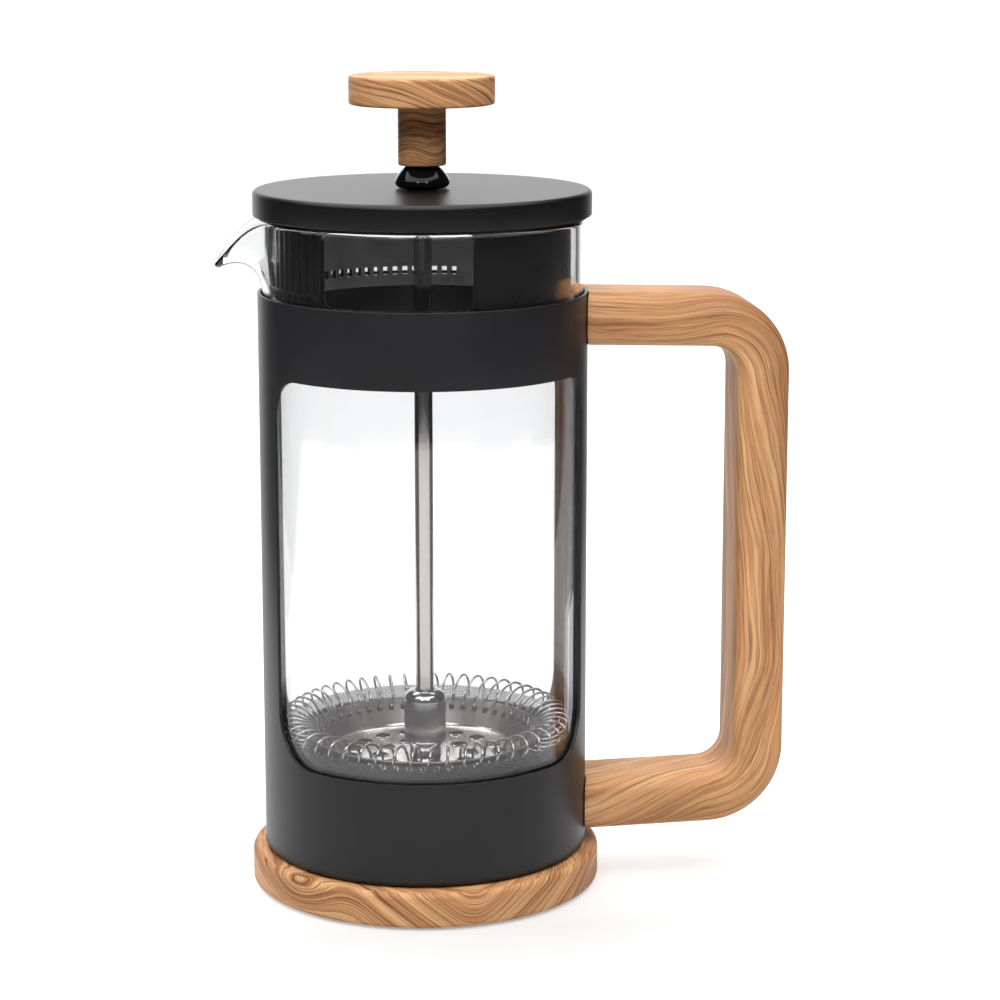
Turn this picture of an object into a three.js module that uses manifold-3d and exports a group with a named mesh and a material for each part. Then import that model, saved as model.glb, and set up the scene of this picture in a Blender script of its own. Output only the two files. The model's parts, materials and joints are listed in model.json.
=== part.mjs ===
// A press for brewing coffee: a glass beaker in a steel holder with a wooden base and handle, a turning lid with a
// strainer collar, and a plunger that carries a perforated plate, a coil spring, a mesh screen and a cross plate.
// Millimetres, +Z up. The Z axis is the axis of the beaker, z = 0 is the surface that the press stands on.
// The spout points to -X and the handle to +X, and the holder's two windows face -Y and +Y.
import * as THREE from "three";
import { mergeVertices } from "three/addons/utils/BufferGeometryUtils.js";
import Module from "manifold-3d";

const wasm = await Module();
wasm.setup();

// ---------- Driving dimensions ----------
const GAP = 0.3; // between neighbouring pieces
const FINE = 48; // sides of the large round pieces
const MIDDLE = 36; // sides of the knob and the filter
const SMALL = 20; // sides of the small round pieces
const TINY = 12; // sides of the screws and of the holes
const PAST = 5; // how far a cutter runs past the wall that it cuts

// Base and non-slip pad
const BASE_RADIUS = 44.8;
const BASE_BOTTOM = 0.5;
const BASE_TOP = 9.7;
const BASE_TOP_ROUND = 1.8;
const BASE_LOW_ROUND = 1.2;
const PAD_RADIUS = 41;
const PAD_THICKNESS = 1.6;

// Holder: a thin sleeve with a narrow bottom lip and two windows, and the floor plate that clamps the lip
const HOLDER_RADIUS = 41.5;
const HOLDER_WALL = 0.8;
const HOLDER_BOTTOM = BASE_TOP + GAP;
const HOLDER_TOP = 153.4;
const HOLDER_BEND = 1.4;
const HOLDER_EDGE = 0.2; // bevel of the top edge
const HOLDER_LIP_INNER = 38;
const FLOOR_PLATE_INNER = 20;
const FLOOR_PLATE_OUTER = 40.2;
const FLOOR_PLATE_BOTTOM = HOLDER_BOTTOM + HOLDER_WALL + GAP;
const FLOOR_PLATE_TOP = FLOOR_PLATE_BOTTOM + HOLDER_WALL;
const WINDOW_LOW = 36.3;
const WINDOW_HIGH = 134.4;
const WINDOW_HALF_ANGLE = THREE.MathUtils.degToRad(67.5);
const WINDOW_LOW_ROUND = 14;
const WINDOW_HIGH_ROUND = 10;

// Screws that hold the base
const BASE_SCREWS = 3;
const BASE_SCREW_CIRCLE = 26;
const BASE_SCREW_HEAD = 3.2;
const BASE_SCREW_SHANK = 1.5;
const BASE_SCREW_HEAD_HEIGHT = 1.3;
const BASE_SCREW_HEAD_BEVEL = 1;
const BASE_SCREW_TIP = 4.5;
const BASE_SCREW_POINT = 2;

// Cushion ring and beaker
const CUSHION_INNER = 31.5;
const CUSHION_OUTER = 38.5;
const CUSHION_BOTTOM = FLOOR_PLATE_TOP + GAP;
const CUSHION_THICKNESS = 1.4;
const GLASS_BOTTOM = CUSHION_BOTTOM + CUSHION_THICKNESS + GAP;
const GLASS_RADIUS = 40.35;
const GLASS_WALL = 1.85;
const GLASS_FLOOR = 2;
const GLASS_CORNER = 4.5;
const GLASS_INNER_CORNER = 3.25;
const GLASS_TOP = 171.9;

// Spout: the wall swells outwards over its top stretch, and the lip drops towards the tip
const SPOUT_START = 153.5;
const SPOUT_REACH = 11.2;
const SPOUT_DROP = 12.3;
const SPOUT_HALF_ANGLE = THREE.MathUtils.degToRad(18);
const SPOUT_REACH_POWERS = { across: 1.5, up: 1.75 }; // how sharply the reach grows towards the tip
const SPOUT_DROP_POWERS = { across: 3, up: 2.3 };
const SPOUT_ROWS = 8;

// Lid: a pressed cap over a strainer collar
const LID_RADIUS = 42.4;
const LID_SHEET = 0.8;
const LID_BOTTOM = 172.7;
const LID_TOP = 179;
const LID_ROUND = 1.2;
const LID_EDGE = 0.2;
const COLLAR_RADIUS = 37.2;
const COLLAR_WALL = 1.6;
const COLLAR_BOTTOM = 150;
const COLLAR_LIP = 38.1;
const COLLAR_LIP_TOP = 152.2;
const COLLAR_LIP_SLOPE = 0.5;
const COLLAR_FLANGE = 1.2;
const RIB_PITCH = THREE.MathUtils.degToRad(4.2);
const RIB_COUNT = 37;
const RIB_WIDTH = 1.1;
const RIB_DEPTH = 0.45;
const RIB_LOW = 156;
const RIB_HIGH = 170.6;
const SLOT_WIDTH = 1.45;
const SLOT_LOW = 153;
const SLOT_HIGH = 155.1;
const COMB_START = THREE.MathUtils.degToRad(-49.5); // from -Y towards +X, on to the spout's side
const POUR_START = THREE.MathUtils.degToRad(-46);
const POUR_END = THREE.MathUtils.degToRad(14.5);
const POUR_LOW = 153;
const POUR_HIGH = 170.6;
const POUR_ROUND = 2;

// Guide bush and its nut
const BUSH_NECK = 4.5;
const BUSH_BULGE = 6.9;
const BUSH_BULGE_HEIGHT = 1.7; // above the lid
const BUSH_DOME = [
  [6.4, 2.7], // radius and height above the lid of the dome's middle
  [5.6, 4],
];
const BUSH_EDGE = 0.5;
const BUSH_TUBE = 4;
const BUSH_TOP = 184.5;
const BUSH_TUBE_BOTTOM = 173.8;
const BUSH_NUT_RADIUS = 7.4;
const BUSH_NUT_THICKNESS = 2.7;

// Plunger: knob, rod and hub
const ROD_RADIUS = 2.35;
const ROD_BOTTOM = 28.2;
const ROD_TOP = 195.2;
const KNOB_RADIUS = 18.2;
const KNOB_LOW = 199.9;
const KNOB_TOP = 207;
const KNOB_ROUND = 0.7;
const STEM_RADIUS = 6;
const STEM_ROUND = 0.4;
const KNOB_BORE_TOP = ROD_TOP + 1;
const INSERT_WALL = 1.2;
const HUB_RADIUS = 5.45;
const HUB_FOOT = 4;
const HUB_TOP = 49.8;
const HUB_SHOULDER = 2.8;
const HUB_FLARE = [
  [4.35, 1.1], // radius and height above the foot, from the foot to the barrel
  [5.05, 2.3],
  [HUB_RADIUS, 3.4],
];

// Filter: plate, coil spring, mesh screen and cross plate
const PLATE_SHEET = 0.6;
const PLATE_FLOOR = 32.4;
const PLATE_FLOOR_RADIUS = 26.3;
const PLATE_RIM = 39.3;
const PLATE_RIM_RADIUS = 30.5;
const PLATE_RIM_BEAD = 0.6; // height of the turned edge, and how far it stands out from the wall
const PLATE_HOLE = 2;
const PLATE_HOLES = [
  { count: 18, circle: 19.5 },
  { count: 10, circle: 11.8 },
];
const SPRING_CIRCLE = 34.2;
const SPRING_COIL = 3.3;
const SPRING_HEIGHT = 41.1;
const MESH_SHEET = 0.35;
const MESH_RADIUS = 38.15;
const MESH_RIM = 40.4;
const MESH_BEND = 3;
const MESH_FOLD = 2.6; // how far the fold starts above the flat of the screen
const CROSS_SHEET = 0.8;
const CROSS_RADIUS = 29;
const CROSS_BOSS = 5;
const CROSS_BOSS_DEPTH = 2.2;
const CROSS_HOLE = 4.6;
const CROSS_HOLES = 8;
const CROSS_HOLE_CIRCLE = 18.5;

// Handle: a rounded bar bent into a bow, screwed to the holder at both ends
const HANDLE_WIDTH = 22;
const HANDLE_THICKNESS = 13.4;
const HANDLE_EDGE = 3.6;
const HANDLE_REACH = 85.8; // axis of the grip
const ARM_HIGH = 146.2; // axis of each arm at its middle
const ARM_LOW = 20.2;
const ARM_MIDDLE = 56;
const ARM_SLOPE = Math.tan(THREE.MathUtils.degToRad(1.5)); // the arms close up slightly towards the grip
const HANDLE_INNER_ROUND = 6.8;
const HANDLE_SCREW_SHANK = 1.8;
const HANDLE_SCREW_HEAD = 3.6;
const HANDLE_SCREW_TIP = 56;
const HANDLE_SCREW_SUNK = 0.05; // of the head, below the sleeve's inside
const HANDLE_SCREW_RIM = 0.25;
const HANDLE_INSERT_RADIUS = 3.4;
const HANDLE_ROOT = HOLDER_RADIUS - 6; // where the arms start before the sleeve is cut out of them
const HANDLE_INSERT_START = 45;
const HANDLE_INSERT_END = 57;

// ---------- Materials ----------
const material = (color, roughness, metalness) => new THREE.MeshStandardMaterial({ color, roughness, metalness });
const WOOD = material(0xc8976a, 0.45, 0);
const BLACK_PAINT = material(0x1b1b1d, 0.5, 0.2);
const BLACK_PLASTIC = material(0x101011, 0.35, 0);
const GLOSS_BLACK = material(0x070708, 0.08, 0);
const RUBBER = material(0x161616, 0.85, 0);
const STEEL = material(0xc9c9c7, 0.18, 1);
const ZINC = material(0x9a9c9e, 0.35, 1);
const BRASS = material(0xb9975b, 0.35, 1);
const GLASS = new THREE.MeshStandardMaterial({
  color: 0xe9f1ee,
  roughness: 0.03,
  metalness: 0,
  transparent: true,
  opacity: 0.3,
});

// ---------- Geometry helpers ----------
const point = (radius, height) => new THREE.Vector2(radius, height);

// A body turned about the Z axis from a profile of (radius, height) points, the outside listed upwards.
function turned(profile, sides) {
  return new THREE.LatheGeometry(profile, sides).rotateX(Math.PI / 2);
}

// The same, for a profile that closes on itself.
const turnedRing = (profile, sides) => turned([...profile, profile[0]], sides);

// Points of an arc in a profile, ends included.
function arc(centreRadius, centreHeight, radius, fromDegrees, toDegrees, steps) {
  const points = [];
  for (let i = 0; i <= steps; i++) {
    const angle = THREE.MathUtils.degToRad(THREE.MathUtils.lerp(fromDegrees, toDegrees, i / steps));
    points.push(point(centreRadius + radius * Math.cos(angle), centreHeight + radius * Math.sin(angle)));
  }
  return points;
}

function toSolid(geometry) {
  const bare = geometry.clone();
  bare.deleteAttribute("normal");
  bare.deleteAttribute("uv");
  const merged = mergeVertices(bare, 1e-4);
  return new wasm.Manifold(
    new wasm.Mesh({
      numProp: 3,
      vertProperties: merged.getAttribute("position").array,
      triVerts: new Uint32Array(merged.index.array),
    }),
  );
}

function toGeometry(solid) {
  const { vertProperties, triVerts } = solid.getMesh();
  const geometry = new THREE.BufferGeometry();
  geometry.setAttribute("position", new THREE.BufferAttribute(vertProperties, 3));
  geometry.setIndex(new THREE.BufferAttribute(triVerts, 1));
  geometry.computeVertexNormals();
  return geometry;
}

// The body with every tool cut away.
function cut(body, tools) {
  return toGeometry(tools.reduce((solid, tool) => solid.subtract(toSolid(tool)), toSolid(body)));
}

// The body with every extra joined on.
function join(body, extras) {
  return toGeometry(extras.reduce((solid, extra) => solid.add(toSolid(extra)), toSolid(body)));
}

// A straight cylinder along Z.
function pin(radius, low, high, sides = SMALL) {
  return new THREE.CylinderGeometry(radius, radius, high - low, sides)
    .rotateX(Math.PI / 2)
    .translate(0, 0, (low + high) / 2);
}

// The same piece repeated round the Z axis.
function ringOf(count, circle, piece) {
  return Array.from({ length: count }, (_, i) =>
    piece()
      .translate(circle, 0, 0)
      .rotateZ((2 * Math.PI * i) / count),
  );
}

// A cutter for a window in a round wall: a block bent round the Z axis, with rounded corners. Angles run from -Y
// towards +X, and its sides are radial.
function windowCutter({ wallRadius, inner, outer, low, high, from, to, lowRound, highRound, columns }) {
  const steps = 6;
  const rows = [];
  for (let i = 0; i <= steps; i++) {
    const turn = (Math.PI / 2) * (i / steps);
    rows.push({ height: low + lowRound * (1 - Math.cos(turn)), inset: lowRound * (1 - Math.sin(turn)) });
  }
  for (let i = 0; i <= steps; i++) {
    const turn = (Math.PI / 2) * (i / steps);
    rows.push({ height: high - highRound * (1 - Math.sin(turn)), inset: highRound * (1 - Math.cos(turn)) });
  }
  const block = new THREE.BoxGeometry(1, 1, 1, columns, 1, rows.length - 1);
  const position = block.getAttribute("position");
  for (let i = 0; i < position.count; i++) {
    const row = rows[Math.round((position.getZ(i) + 0.5) * (rows.length - 1))];
    const half = (to - from) / 2 - row.inset / wallRadius;
    const angle = (from + to) / 2 + 2 * half * position.getX(i);
    const radius = position.getY(i) < 0 ? outer : inner;
    position.setXYZ(i, radius * Math.sin(angle), -radius * Math.cos(angle), row.height);
  }
  return block;
}

// A closed outline through corner points {x, y, round}, each corner rounded by an arc of its own radius.
function roundedOutline(corners) {
  const outline = new THREE.Shape();
  corners.forEach((corner, i) => {
    const here = new THREE.Vector2(corner.x, corner.y);
    const before = corners.at(i - 1);
    const after = corners[(i + 1) % corners.length];
    const back = new THREE.Vector2(before.x, before.y).sub(here).normalize();
    const ahead = new THREE.Vector2(after.x, after.y).sub(here).normalize();
    if (!corner.round) {
      if (i === 0) outline.moveTo(here.x, here.y);
      else outline.lineTo(here.x, here.y);
      return;
    }
    const half = Math.acos(THREE.MathUtils.clamp(back.dot(ahead), -1, 1)) / 2;
    const start = here.clone().addScaledVector(back, corner.round / Math.tan(half));
    const middle = back.clone().add(ahead).normalize();
    const centre = here.clone().addScaledVector(middle, corner.round / Math.sin(half));
    const end = here.clone().addScaledVector(ahead, corner.round / Math.tan(half));
    const clockwise = back.cross(ahead) > 0;
    outline.lineTo(start.x, start.y);
    outline.absarc(
      centre.x,
      centre.y,
      corner.round,
      Math.atan2(start.y - centre.y, start.x - centre.x),
      Math.atan2(end.y - centre.y, end.x - centre.x),
      clockwise,
    );
  });
  outline.closePath();
  return outline;
}

// ---------- Base and holder ----------
const baseScrewPlaces = (piece) => ringOf(BASE_SCREWS, BASE_SCREW_CIRCLE, piece);

function baseDisc() {
  const recess = PAD_RADIUS + GAP;
  const recessTop = PAD_THICKNESS + GAP;
  const body = turned(
    [
      point(0, recessTop),
      point(recess, recessTop),
      point(recess, BASE_BOTTOM),
      ...arc(BASE_RADIUS - BASE_LOW_ROUND, BASE_BOTTOM + BASE_LOW_ROUND, BASE_LOW_ROUND, -90, 0, 2),
      ...arc(BASE_RADIUS - BASE_TOP_ROUND, BASE_TOP - BASE_TOP_ROUND, BASE_TOP_ROUND, 0, 90, 3),
      point(0, BASE_TOP),
    ],
    FINE,
  );
  const pilot = () => pin(BASE_SCREW_SHANK + GAP, BASE_SCREW_TIP - GAP, BASE_TOP + 1, TINY);
  return cut(body, baseScrewPlaces(pilot));
}

function nonSlipPad() {
  return turned([point(0, 0), point(PAD_RADIUS, 0), point(PAD_RADIUS, PAD_THICKNESS), point(0, PAD_THICKNESS)], FINE);
}

function baseScrew() {
  const seat = FLOOR_PLATE_TOP + GAP;
  return turned(
    [
      point(0, BASE_SCREW_TIP),
      point(BASE_SCREW_SHANK, BASE_SCREW_TIP + BASE_SCREW_POINT),
      point(BASE_SCREW_SHANK, seat),
      point(BASE_SCREW_HEAD, seat),
      point(BASE_SCREW_HEAD, seat + BASE_SCREW_HEAD_HEIGHT / 2),
      point(BASE_SCREW_HEAD - BASE_SCREW_HEAD_BEVEL, seat + BASE_SCREW_HEAD_HEIGHT),
      point(0, seat + BASE_SCREW_HEAD_HEIGHT),
    ],
    TINY,
  );
}

// The screws of the handle enter from inside the sleeve, with sunk heads.
function handleScrewPlaces(piece) {
  return [ARM_HIGH, ARM_LOW].map((height) =>
    piece()
      .rotateY(Math.PI / 2)
      .translate(0, 0, height),
  );
}

function handleScrew(clearance = 0) {
  const head = HOLDER_RADIUS - HOLDER_WALL + HANDLE_SCREW_SUNK - clearance;
  const rim = head + clearance + HANDLE_SCREW_RIM;
  const shank = HANDLE_SCREW_SHANK + clearance;
  const slope = HANDLE_SCREW_HEAD - HANDLE_SCREW_SHANK;
  return turned(
    [
      point(0, head),
      point(HANDLE_SCREW_HEAD + clearance, head),
      point(HANDLE_SCREW_HEAD + clearance, rim),
      point(shank, rim + slope),
      point(shank, HANDLE_SCREW_TIP + clearance),
      point(0, HANDLE_SCREW_TIP + clearance),
    ],
    SMALL,
  );
}

function holderSleeve() {
  const inner = HOLDER_RADIUS - HOLDER_WALL;
  const bendRadius = HOLDER_RADIUS - HOLDER_BEND;
  const bendHeight = HOLDER_BOTTOM + HOLDER_BEND;
  const body = turnedRing(
    [
      point(HOLDER_LIP_INNER, HOLDER_BOTTOM),
      ...arc(bendRadius, bendHeight, HOLDER_BEND, -90, 0, 3),
      point(HOLDER_RADIUS, HOLDER_TOP - HOLDER_EDGE),
      point(HOLDER_RADIUS - HOLDER_EDGE, HOLDER_TOP),
      point(inner, HOLDER_TOP),
      ...arc(bendRadius, bendHeight, HOLDER_BEND - HOLDER_WALL, 0, -90, 2),
      point(HOLDER_LIP_INNER, HOLDER_BOTTOM + HOLDER_WALL),
    ],
    FINE,
  );
  const windows = [0, Math.PI].map((middle) =>
    windowCutter({
      wallRadius: HOLDER_RADIUS,
      inner: HOLDER_RADIUS - PAST,
      outer: HOLDER_RADIUS + PAST,
      low: WINDOW_LOW,
      high: WINDOW_HIGH,
      from: middle - WINDOW_HALF_ANGLE,
      to: middle + WINDOW_HALF_ANGLE,
      lowRound: WINDOW_LOW_ROUND,
      highRound: WINDOW_HIGH_ROUND,
      columns: 12,
    }),
  );
  return cut(body, [...windows, ...handleScrewPlaces(() => handleScrew(GAP))]);
}

function holderFloor() {
  const body = turnedRing(
    [
      point(FLOOR_PLATE_INNER, FLOOR_PLATE_BOTTOM),
      point(FLOOR_PLATE_OUTER, FLOOR_PLATE_BOTTOM),
      point(FLOOR_PLATE_OUTER, FLOOR_PLATE_TOP),
      point(FLOOR_PLATE_INNER, FLOOR_PLATE_TOP),
    ],
    FINE,
  );
  const screwHole = () => pin(BASE_SCREW_SHANK + GAP, FLOOR_PLATE_BOTTOM - 1, FLOOR_PLATE_TOP + 1, TINY);
  return cut(body, baseScrewPlaces(screwHole));
}

function glassCushion() {
  const low = CUSHION_BOTTOM;
  const high = low + CUSHION_THICKNESS;
  return turnedRing(
    [point(CUSHION_INNER, low), point(CUSHION_OUTER, low), point(CUSHION_OUTER, high), point(CUSHION_INNER, high)],
    MIDDLE,
  );
}

// ---------- Handle ----------
function handle() {
  const armHeight = (middle, slope, x) => middle + slope * (x - ARM_MIDDLE);
  const half = HANDLE_THICKNESS / 2;
  const outside = HANDLE_REACH + half;
  const inside = HANDLE_REACH - half;
  const outerRound = HANDLE_INNER_ROUND + HANDLE_THICKNESS;
  const high = (x, offset) => armHeight(ARM_HIGH, -ARM_SLOPE, x) + offset;
  const low = (x, offset) => armHeight(ARM_LOW, ARM_SLOPE, x) + offset;
  const outline = roundedOutline([
    { x: HANDLE_ROOT, y: low(HANDLE_ROOT, -half) },
    { x: outside, y: low(outside, -half), round: outerRound },
    { x: outside, y: high(outside, half), round: outerRound },
    { x: HANDLE_ROOT, y: high(HANDLE_ROOT, half) },
    { x: HANDLE_ROOT, y: high(HANDLE_ROOT, -half) },
    { x: inside, y: high(inside, -half), round: HANDLE_INNER_ROUND },
    { x: inside, y: low(inside, half), round: HANDLE_INNER_ROUND },
    { x: HANDLE_ROOT, y: low(HANDLE_ROOT, half) },
  ]);
  const bar = new THREE.ExtrudeGeometry(outline, {
    depth: HANDLE_WIDTH - 2 * HANDLE_EDGE,
    curveSegments: 6,
    bevelThickness: HANDLE_EDGE,
    bevelSize: HANDLE_EDGE,
    bevelOffset: -HANDLE_EDGE,
    bevelSegments: 3,
  });
  bar.translate(0, 0, HANDLE_EDGE - HANDLE_WIDTH / 2).rotateX(Math.PI / 2);
  const sleeve = pin(HOLDER_RADIUS + GAP, 0, HOLDER_TOP + PAST, FINE);
  const insertHole = () => pin(HANDLE_INSERT_RADIUS + GAP, HOLDER_RADIUS - PAST, HANDLE_INSERT_END + GAP, SMALL);
  return cut(bar, [sleeve, ...handleScrewPlaces(insertHole)]);
}

function handleInsert() {
  const bore = HANDLE_SCREW_SHANK + GAP;
  return turnedRing(
    [
      point(bore, HANDLE_INSERT_START),
      point(HANDLE_INSERT_RADIUS, HANDLE_INSERT_START),
      point(HANDLE_INSERT_RADIUS, HANDLE_INSERT_END),
      point(bore, HANDLE_INSERT_END),
    ],
    SMALL,
  );
}

// ---------- Beaker ----------
// The outer face at an angle from -X and at a height it had before the spout was drawn out of it
function glassFace(angle, height) {
  const away = Math.min(Math.abs(angle) / SPOUT_HALF_ANGLE, 1);
  const rise = Math.max(height - SPOUT_START, 0) / (GLASS_TOP - SPOUT_START);
  const swell = Math.cos((Math.PI / 2) * away);
  const reach = SPOUT_REACH * swell ** SPOUT_REACH_POWERS.across * rise ** SPOUT_REACH_POWERS.up;
  const drop = SPOUT_DROP * swell ** SPOUT_DROP_POWERS.across * rise ** SPOUT_DROP_POWERS.up;
  const radius = GLASS_RADIUS + reach;
  return new THREE.Vector3(-radius * Math.cos(angle), -radius * Math.sin(angle), height - drop);
}

function glassBeaker() {
  const floor = GLASS_BOTTOM + GLASS_FLOOR;
  const inner = GLASS_RADIUS - GLASS_WALL;
  const bead = GLASS_WALL / 2;
  const heights = Array.from({ length: SPOUT_ROWS }, (_, i) =>
    THREE.MathUtils.lerp(SPOUT_START, GLASS_TOP - bead, i / SPOUT_ROWS),
  );
  const body = turned(
    [
      point(0, GLASS_BOTTOM),
      ...arc(GLASS_RADIUS - GLASS_CORNER, GLASS_BOTTOM + GLASS_CORNER, GLASS_CORNER, -90, 0, 3),
      ...heights.map((height) => point(GLASS_RADIUS, height)),
      ...arc(GLASS_RADIUS - bead, GLASS_TOP - bead, bead, 0, 180, 3),
      ...heights.toReversed().map((height) => point(inner, height)),
      ...arc(inner - GLASS_INNER_CORNER, floor + GLASS_INNER_CORNER, GLASS_INNER_CORNER, 0, -90, 2),
      point(0, floor),
    ],
    FINE,
  );
  const position = body.getAttribute("position");
  const step = 0.001; // between the points that a direction on the face is taken from
  for (let i = 0; i < position.count; i++) {
    const [x, y, z] = [position.getX(i), position.getY(i), position.getZ(i)];
    const angle = Math.atan2(-y, -x);
    if (z <= SPOUT_START || Math.abs(angle) >= SPOUT_HALF_ANGLE) continue;
    const across = glassFace(angle + step, z).sub(glassFace(angle - step, z));
    const upward = glassFace(angle, z + step).sub(glassFace(angle, z - step));
    const inward = upward.cross(across).normalize();
    const depth = GLASS_RADIUS - Math.hypot(x, y);
    position.setXYZ(i, ...glassFace(angle, z).addScaledVector(inward, depth));
  }
  return body;
}

// ---------- Lid ----------
function lidCap() {
  const inner = LID_RADIUS - LID_SHEET;
  const hole = BUSH_TUBE + GAP;
  return turnedRing(
    [
      point(inner, LID_BOTTOM),
      point(LID_RADIUS - LID_EDGE, LID_BOTTOM),
      point(LID_RADIUS, LID_BOTTOM + LID_EDGE),
      ...arc(LID_RADIUS - LID_ROUND, LID_TOP - LID_ROUND, LID_ROUND, 0, 90, 3),
      point(hole, LID_TOP),
      point(hole, LID_TOP - LID_SHEET),
      ...arc(LID_RADIUS - LID_ROUND, LID_TOP - LID_ROUND, LID_ROUND - LID_SHEET, 90, 0, 2),
    ],
    FINE,
  );
}

function strainerCollar() {
  const inner = COLLAR_RADIUS - COLLAR_WALL;
  const seat = GLASS_TOP + GAP;
  const top = LID_TOP - LID_SHEET - GAP;
  const flangeRadius = LID_RADIUS - LID_SHEET - GAP;
  const body = turnedRing(
    [
      point(inner, COLLAR_BOTTOM),
      point(COLLAR_LIP, COLLAR_BOTTOM),
      point(COLLAR_LIP, COLLAR_LIP_TOP),
      point(COLLAR_RADIUS, COLLAR_LIP_TOP + COLLAR_LIP_SLOPE),
      point(COLLAR_RADIUS, seat),
      point(flangeRadius, seat),
      point(flangeRadius, seat + COLLAR_FLANGE),
      point(COLLAR_RADIUS, seat + COLLAR_FLANGE),
      point(COLLAR_RADIUS, top),
      point(inner, top),
    ],
    FINE,
  );
  // Blocks round the comb, whose first one is just past the pour window. The turn brings +X to the row's angle.
  const combAt = (i) => COMB_START - RIB_PITCH * i - Math.PI / 2;
  const block = (width, depth, low, high, radius) =>
    new THREE.BoxGeometry(depth, width, high - low).translate(radius, 0, (low + high) / 2);
  const ribs = Array.from({ length: RIB_COUNT }, (_, i) =>
    block(RIB_WIDTH, 2 * RIB_DEPTH, RIB_LOW, RIB_HIGH, COLLAR_RADIUS).rotateZ(combAt(i)),
  );
  const slots = Array.from({ length: RIB_COUNT - 1 }, (_, i) =>
    block(SLOT_WIDTH, 3 * COLLAR_WALL, SLOT_LOW, SLOT_HIGH, COLLAR_RADIUS - COLLAR_WALL / 2).rotateZ(combAt(i + 0.5)),
  );
  const pourWindow = windowCutter({
    wallRadius: COLLAR_RADIUS,
    inner: inner - PAST,
    outer: COLLAR_RADIUS + PAST,
    low: POUR_LOW,
    high: POUR_HIGH,
    from: POUR_START,
    to: POUR_END,
    lowRound: POUR_ROUND,
    highRound: POUR_ROUND,
    columns: 8,
  });
  return cut(join(body, ribs), [...slots, pourWindow]);
}

function guideBush() {
  const bore = ROD_RADIUS + GAP;
  return turnedRing(
    [
      point(bore, BUSH_TUBE_BOTTOM),
      point(BUSH_TUBE, BUSH_TUBE_BOTTOM),
      point(BUSH_TUBE, LID_TOP + GAP),
      point(BUSH_BULGE - BUSH_EDGE, LID_TOP + GAP),
      point(BUSH_BULGE, LID_TOP + BUSH_BULGE_HEIGHT),
      ...BUSH_DOME.map(([radius, rise]) => point(radius, LID_TOP + rise)),
      point(BUSH_NECK, BUSH_TOP - BUSH_EDGE),
      point(BUSH_NECK - BUSH_EDGE, BUSH_TOP),
      point(bore, BUSH_TOP),
    ],
    SMALL,
  );
}

function guideNut() {
  const high = LID_TOP - LID_SHEET - GAP;
  const hexagon = new THREE.Shape();
  for (let i = 0; i < 6; i++) {
    const angle = (Math.PI / 3) * i;
    const [x, y] = [BUSH_NUT_RADIUS * Math.cos(angle), BUSH_NUT_RADIUS * Math.sin(angle)];
    if (i === 0) hexagon.moveTo(x, y);
    else hexagon.lineTo(x, y);
  }
  hexagon.closePath();
  hexagon.holes.push(new THREE.Path().absarc(0, 0, BUSH_TUBE + GAP, 0, 2 * Math.PI, true));
  return new THREE.ExtrudeGeometry(hexagon, {
    depth: BUSH_NUT_THICKNESS,
    bevelEnabled: false,
    curveSegments: 12,
  }).translate(0, 0, high - BUSH_NUT_THICKNESS);
}

// ---------- Plunger ----------
const insertRadius = ROD_RADIUS + GAP + INSERT_WALL;

function knob() {
  const stemBottom = BUSH_TOP + GAP;
  const bore = insertRadius + GAP;
  return turned(
    [
      point(0, KNOB_BORE_TOP),
      point(bore, KNOB_BORE_TOP),
      point(bore, stemBottom),
      ...arc(STEM_RADIUS - STEM_ROUND, stemBottom + STEM_ROUND, STEM_ROUND, -90, 0, 2),
      point(STEM_RADIUS, KNOB_LOW),
      ...arc(KNOB_RADIUS - KNOB_ROUND, KNOB_LOW + KNOB_ROUND, KNOB_ROUND, -90, 0, 2),
      ...arc(KNOB_RADIUS - KNOB_ROUND, KNOB_TOP - KNOB_ROUND, KNOB_ROUND, 0, 90, 2),
      point(0, KNOB_TOP),
    ],
    MIDDLE,
  );
}

function knobInsert() {
  const bore = ROD_RADIUS + GAP;
  const low = BUSH_TOP + 2 * GAP;
  return turnedRing(
    [point(bore, low), point(insertRadius, low), point(insertRadius, ROD_TOP), point(bore, ROD_TOP)],
    SMALL,
  );
}

function plungerRod() {
  return turned(
    [
      point(0, ROD_BOTTOM),
      point(ROD_RADIUS, ROD_BOTTOM),
      point(ROD_RADIUS, ROD_TOP),
      point(0, ROD_TOP),
    ],
    SMALL,
  );
}

function hubNut() {
  const bore = ROD_RADIUS + GAP;
  const low = PLATE_FLOOR + GAP;
  return turnedRing(
    [
      point(bore, low),
      point(HUB_FOOT, low),
      ...HUB_FLARE.map(([radius, rise]) => point(radius, low + rise)),
      ...arc(HUB_RADIUS - HUB_SHOULDER, HUB_TOP - HUB_SHOULDER, HUB_SHOULDER, 0, 78, 4),
      point(bore, HUB_TOP),
    ],
    SMALL,
  );
}

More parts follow.
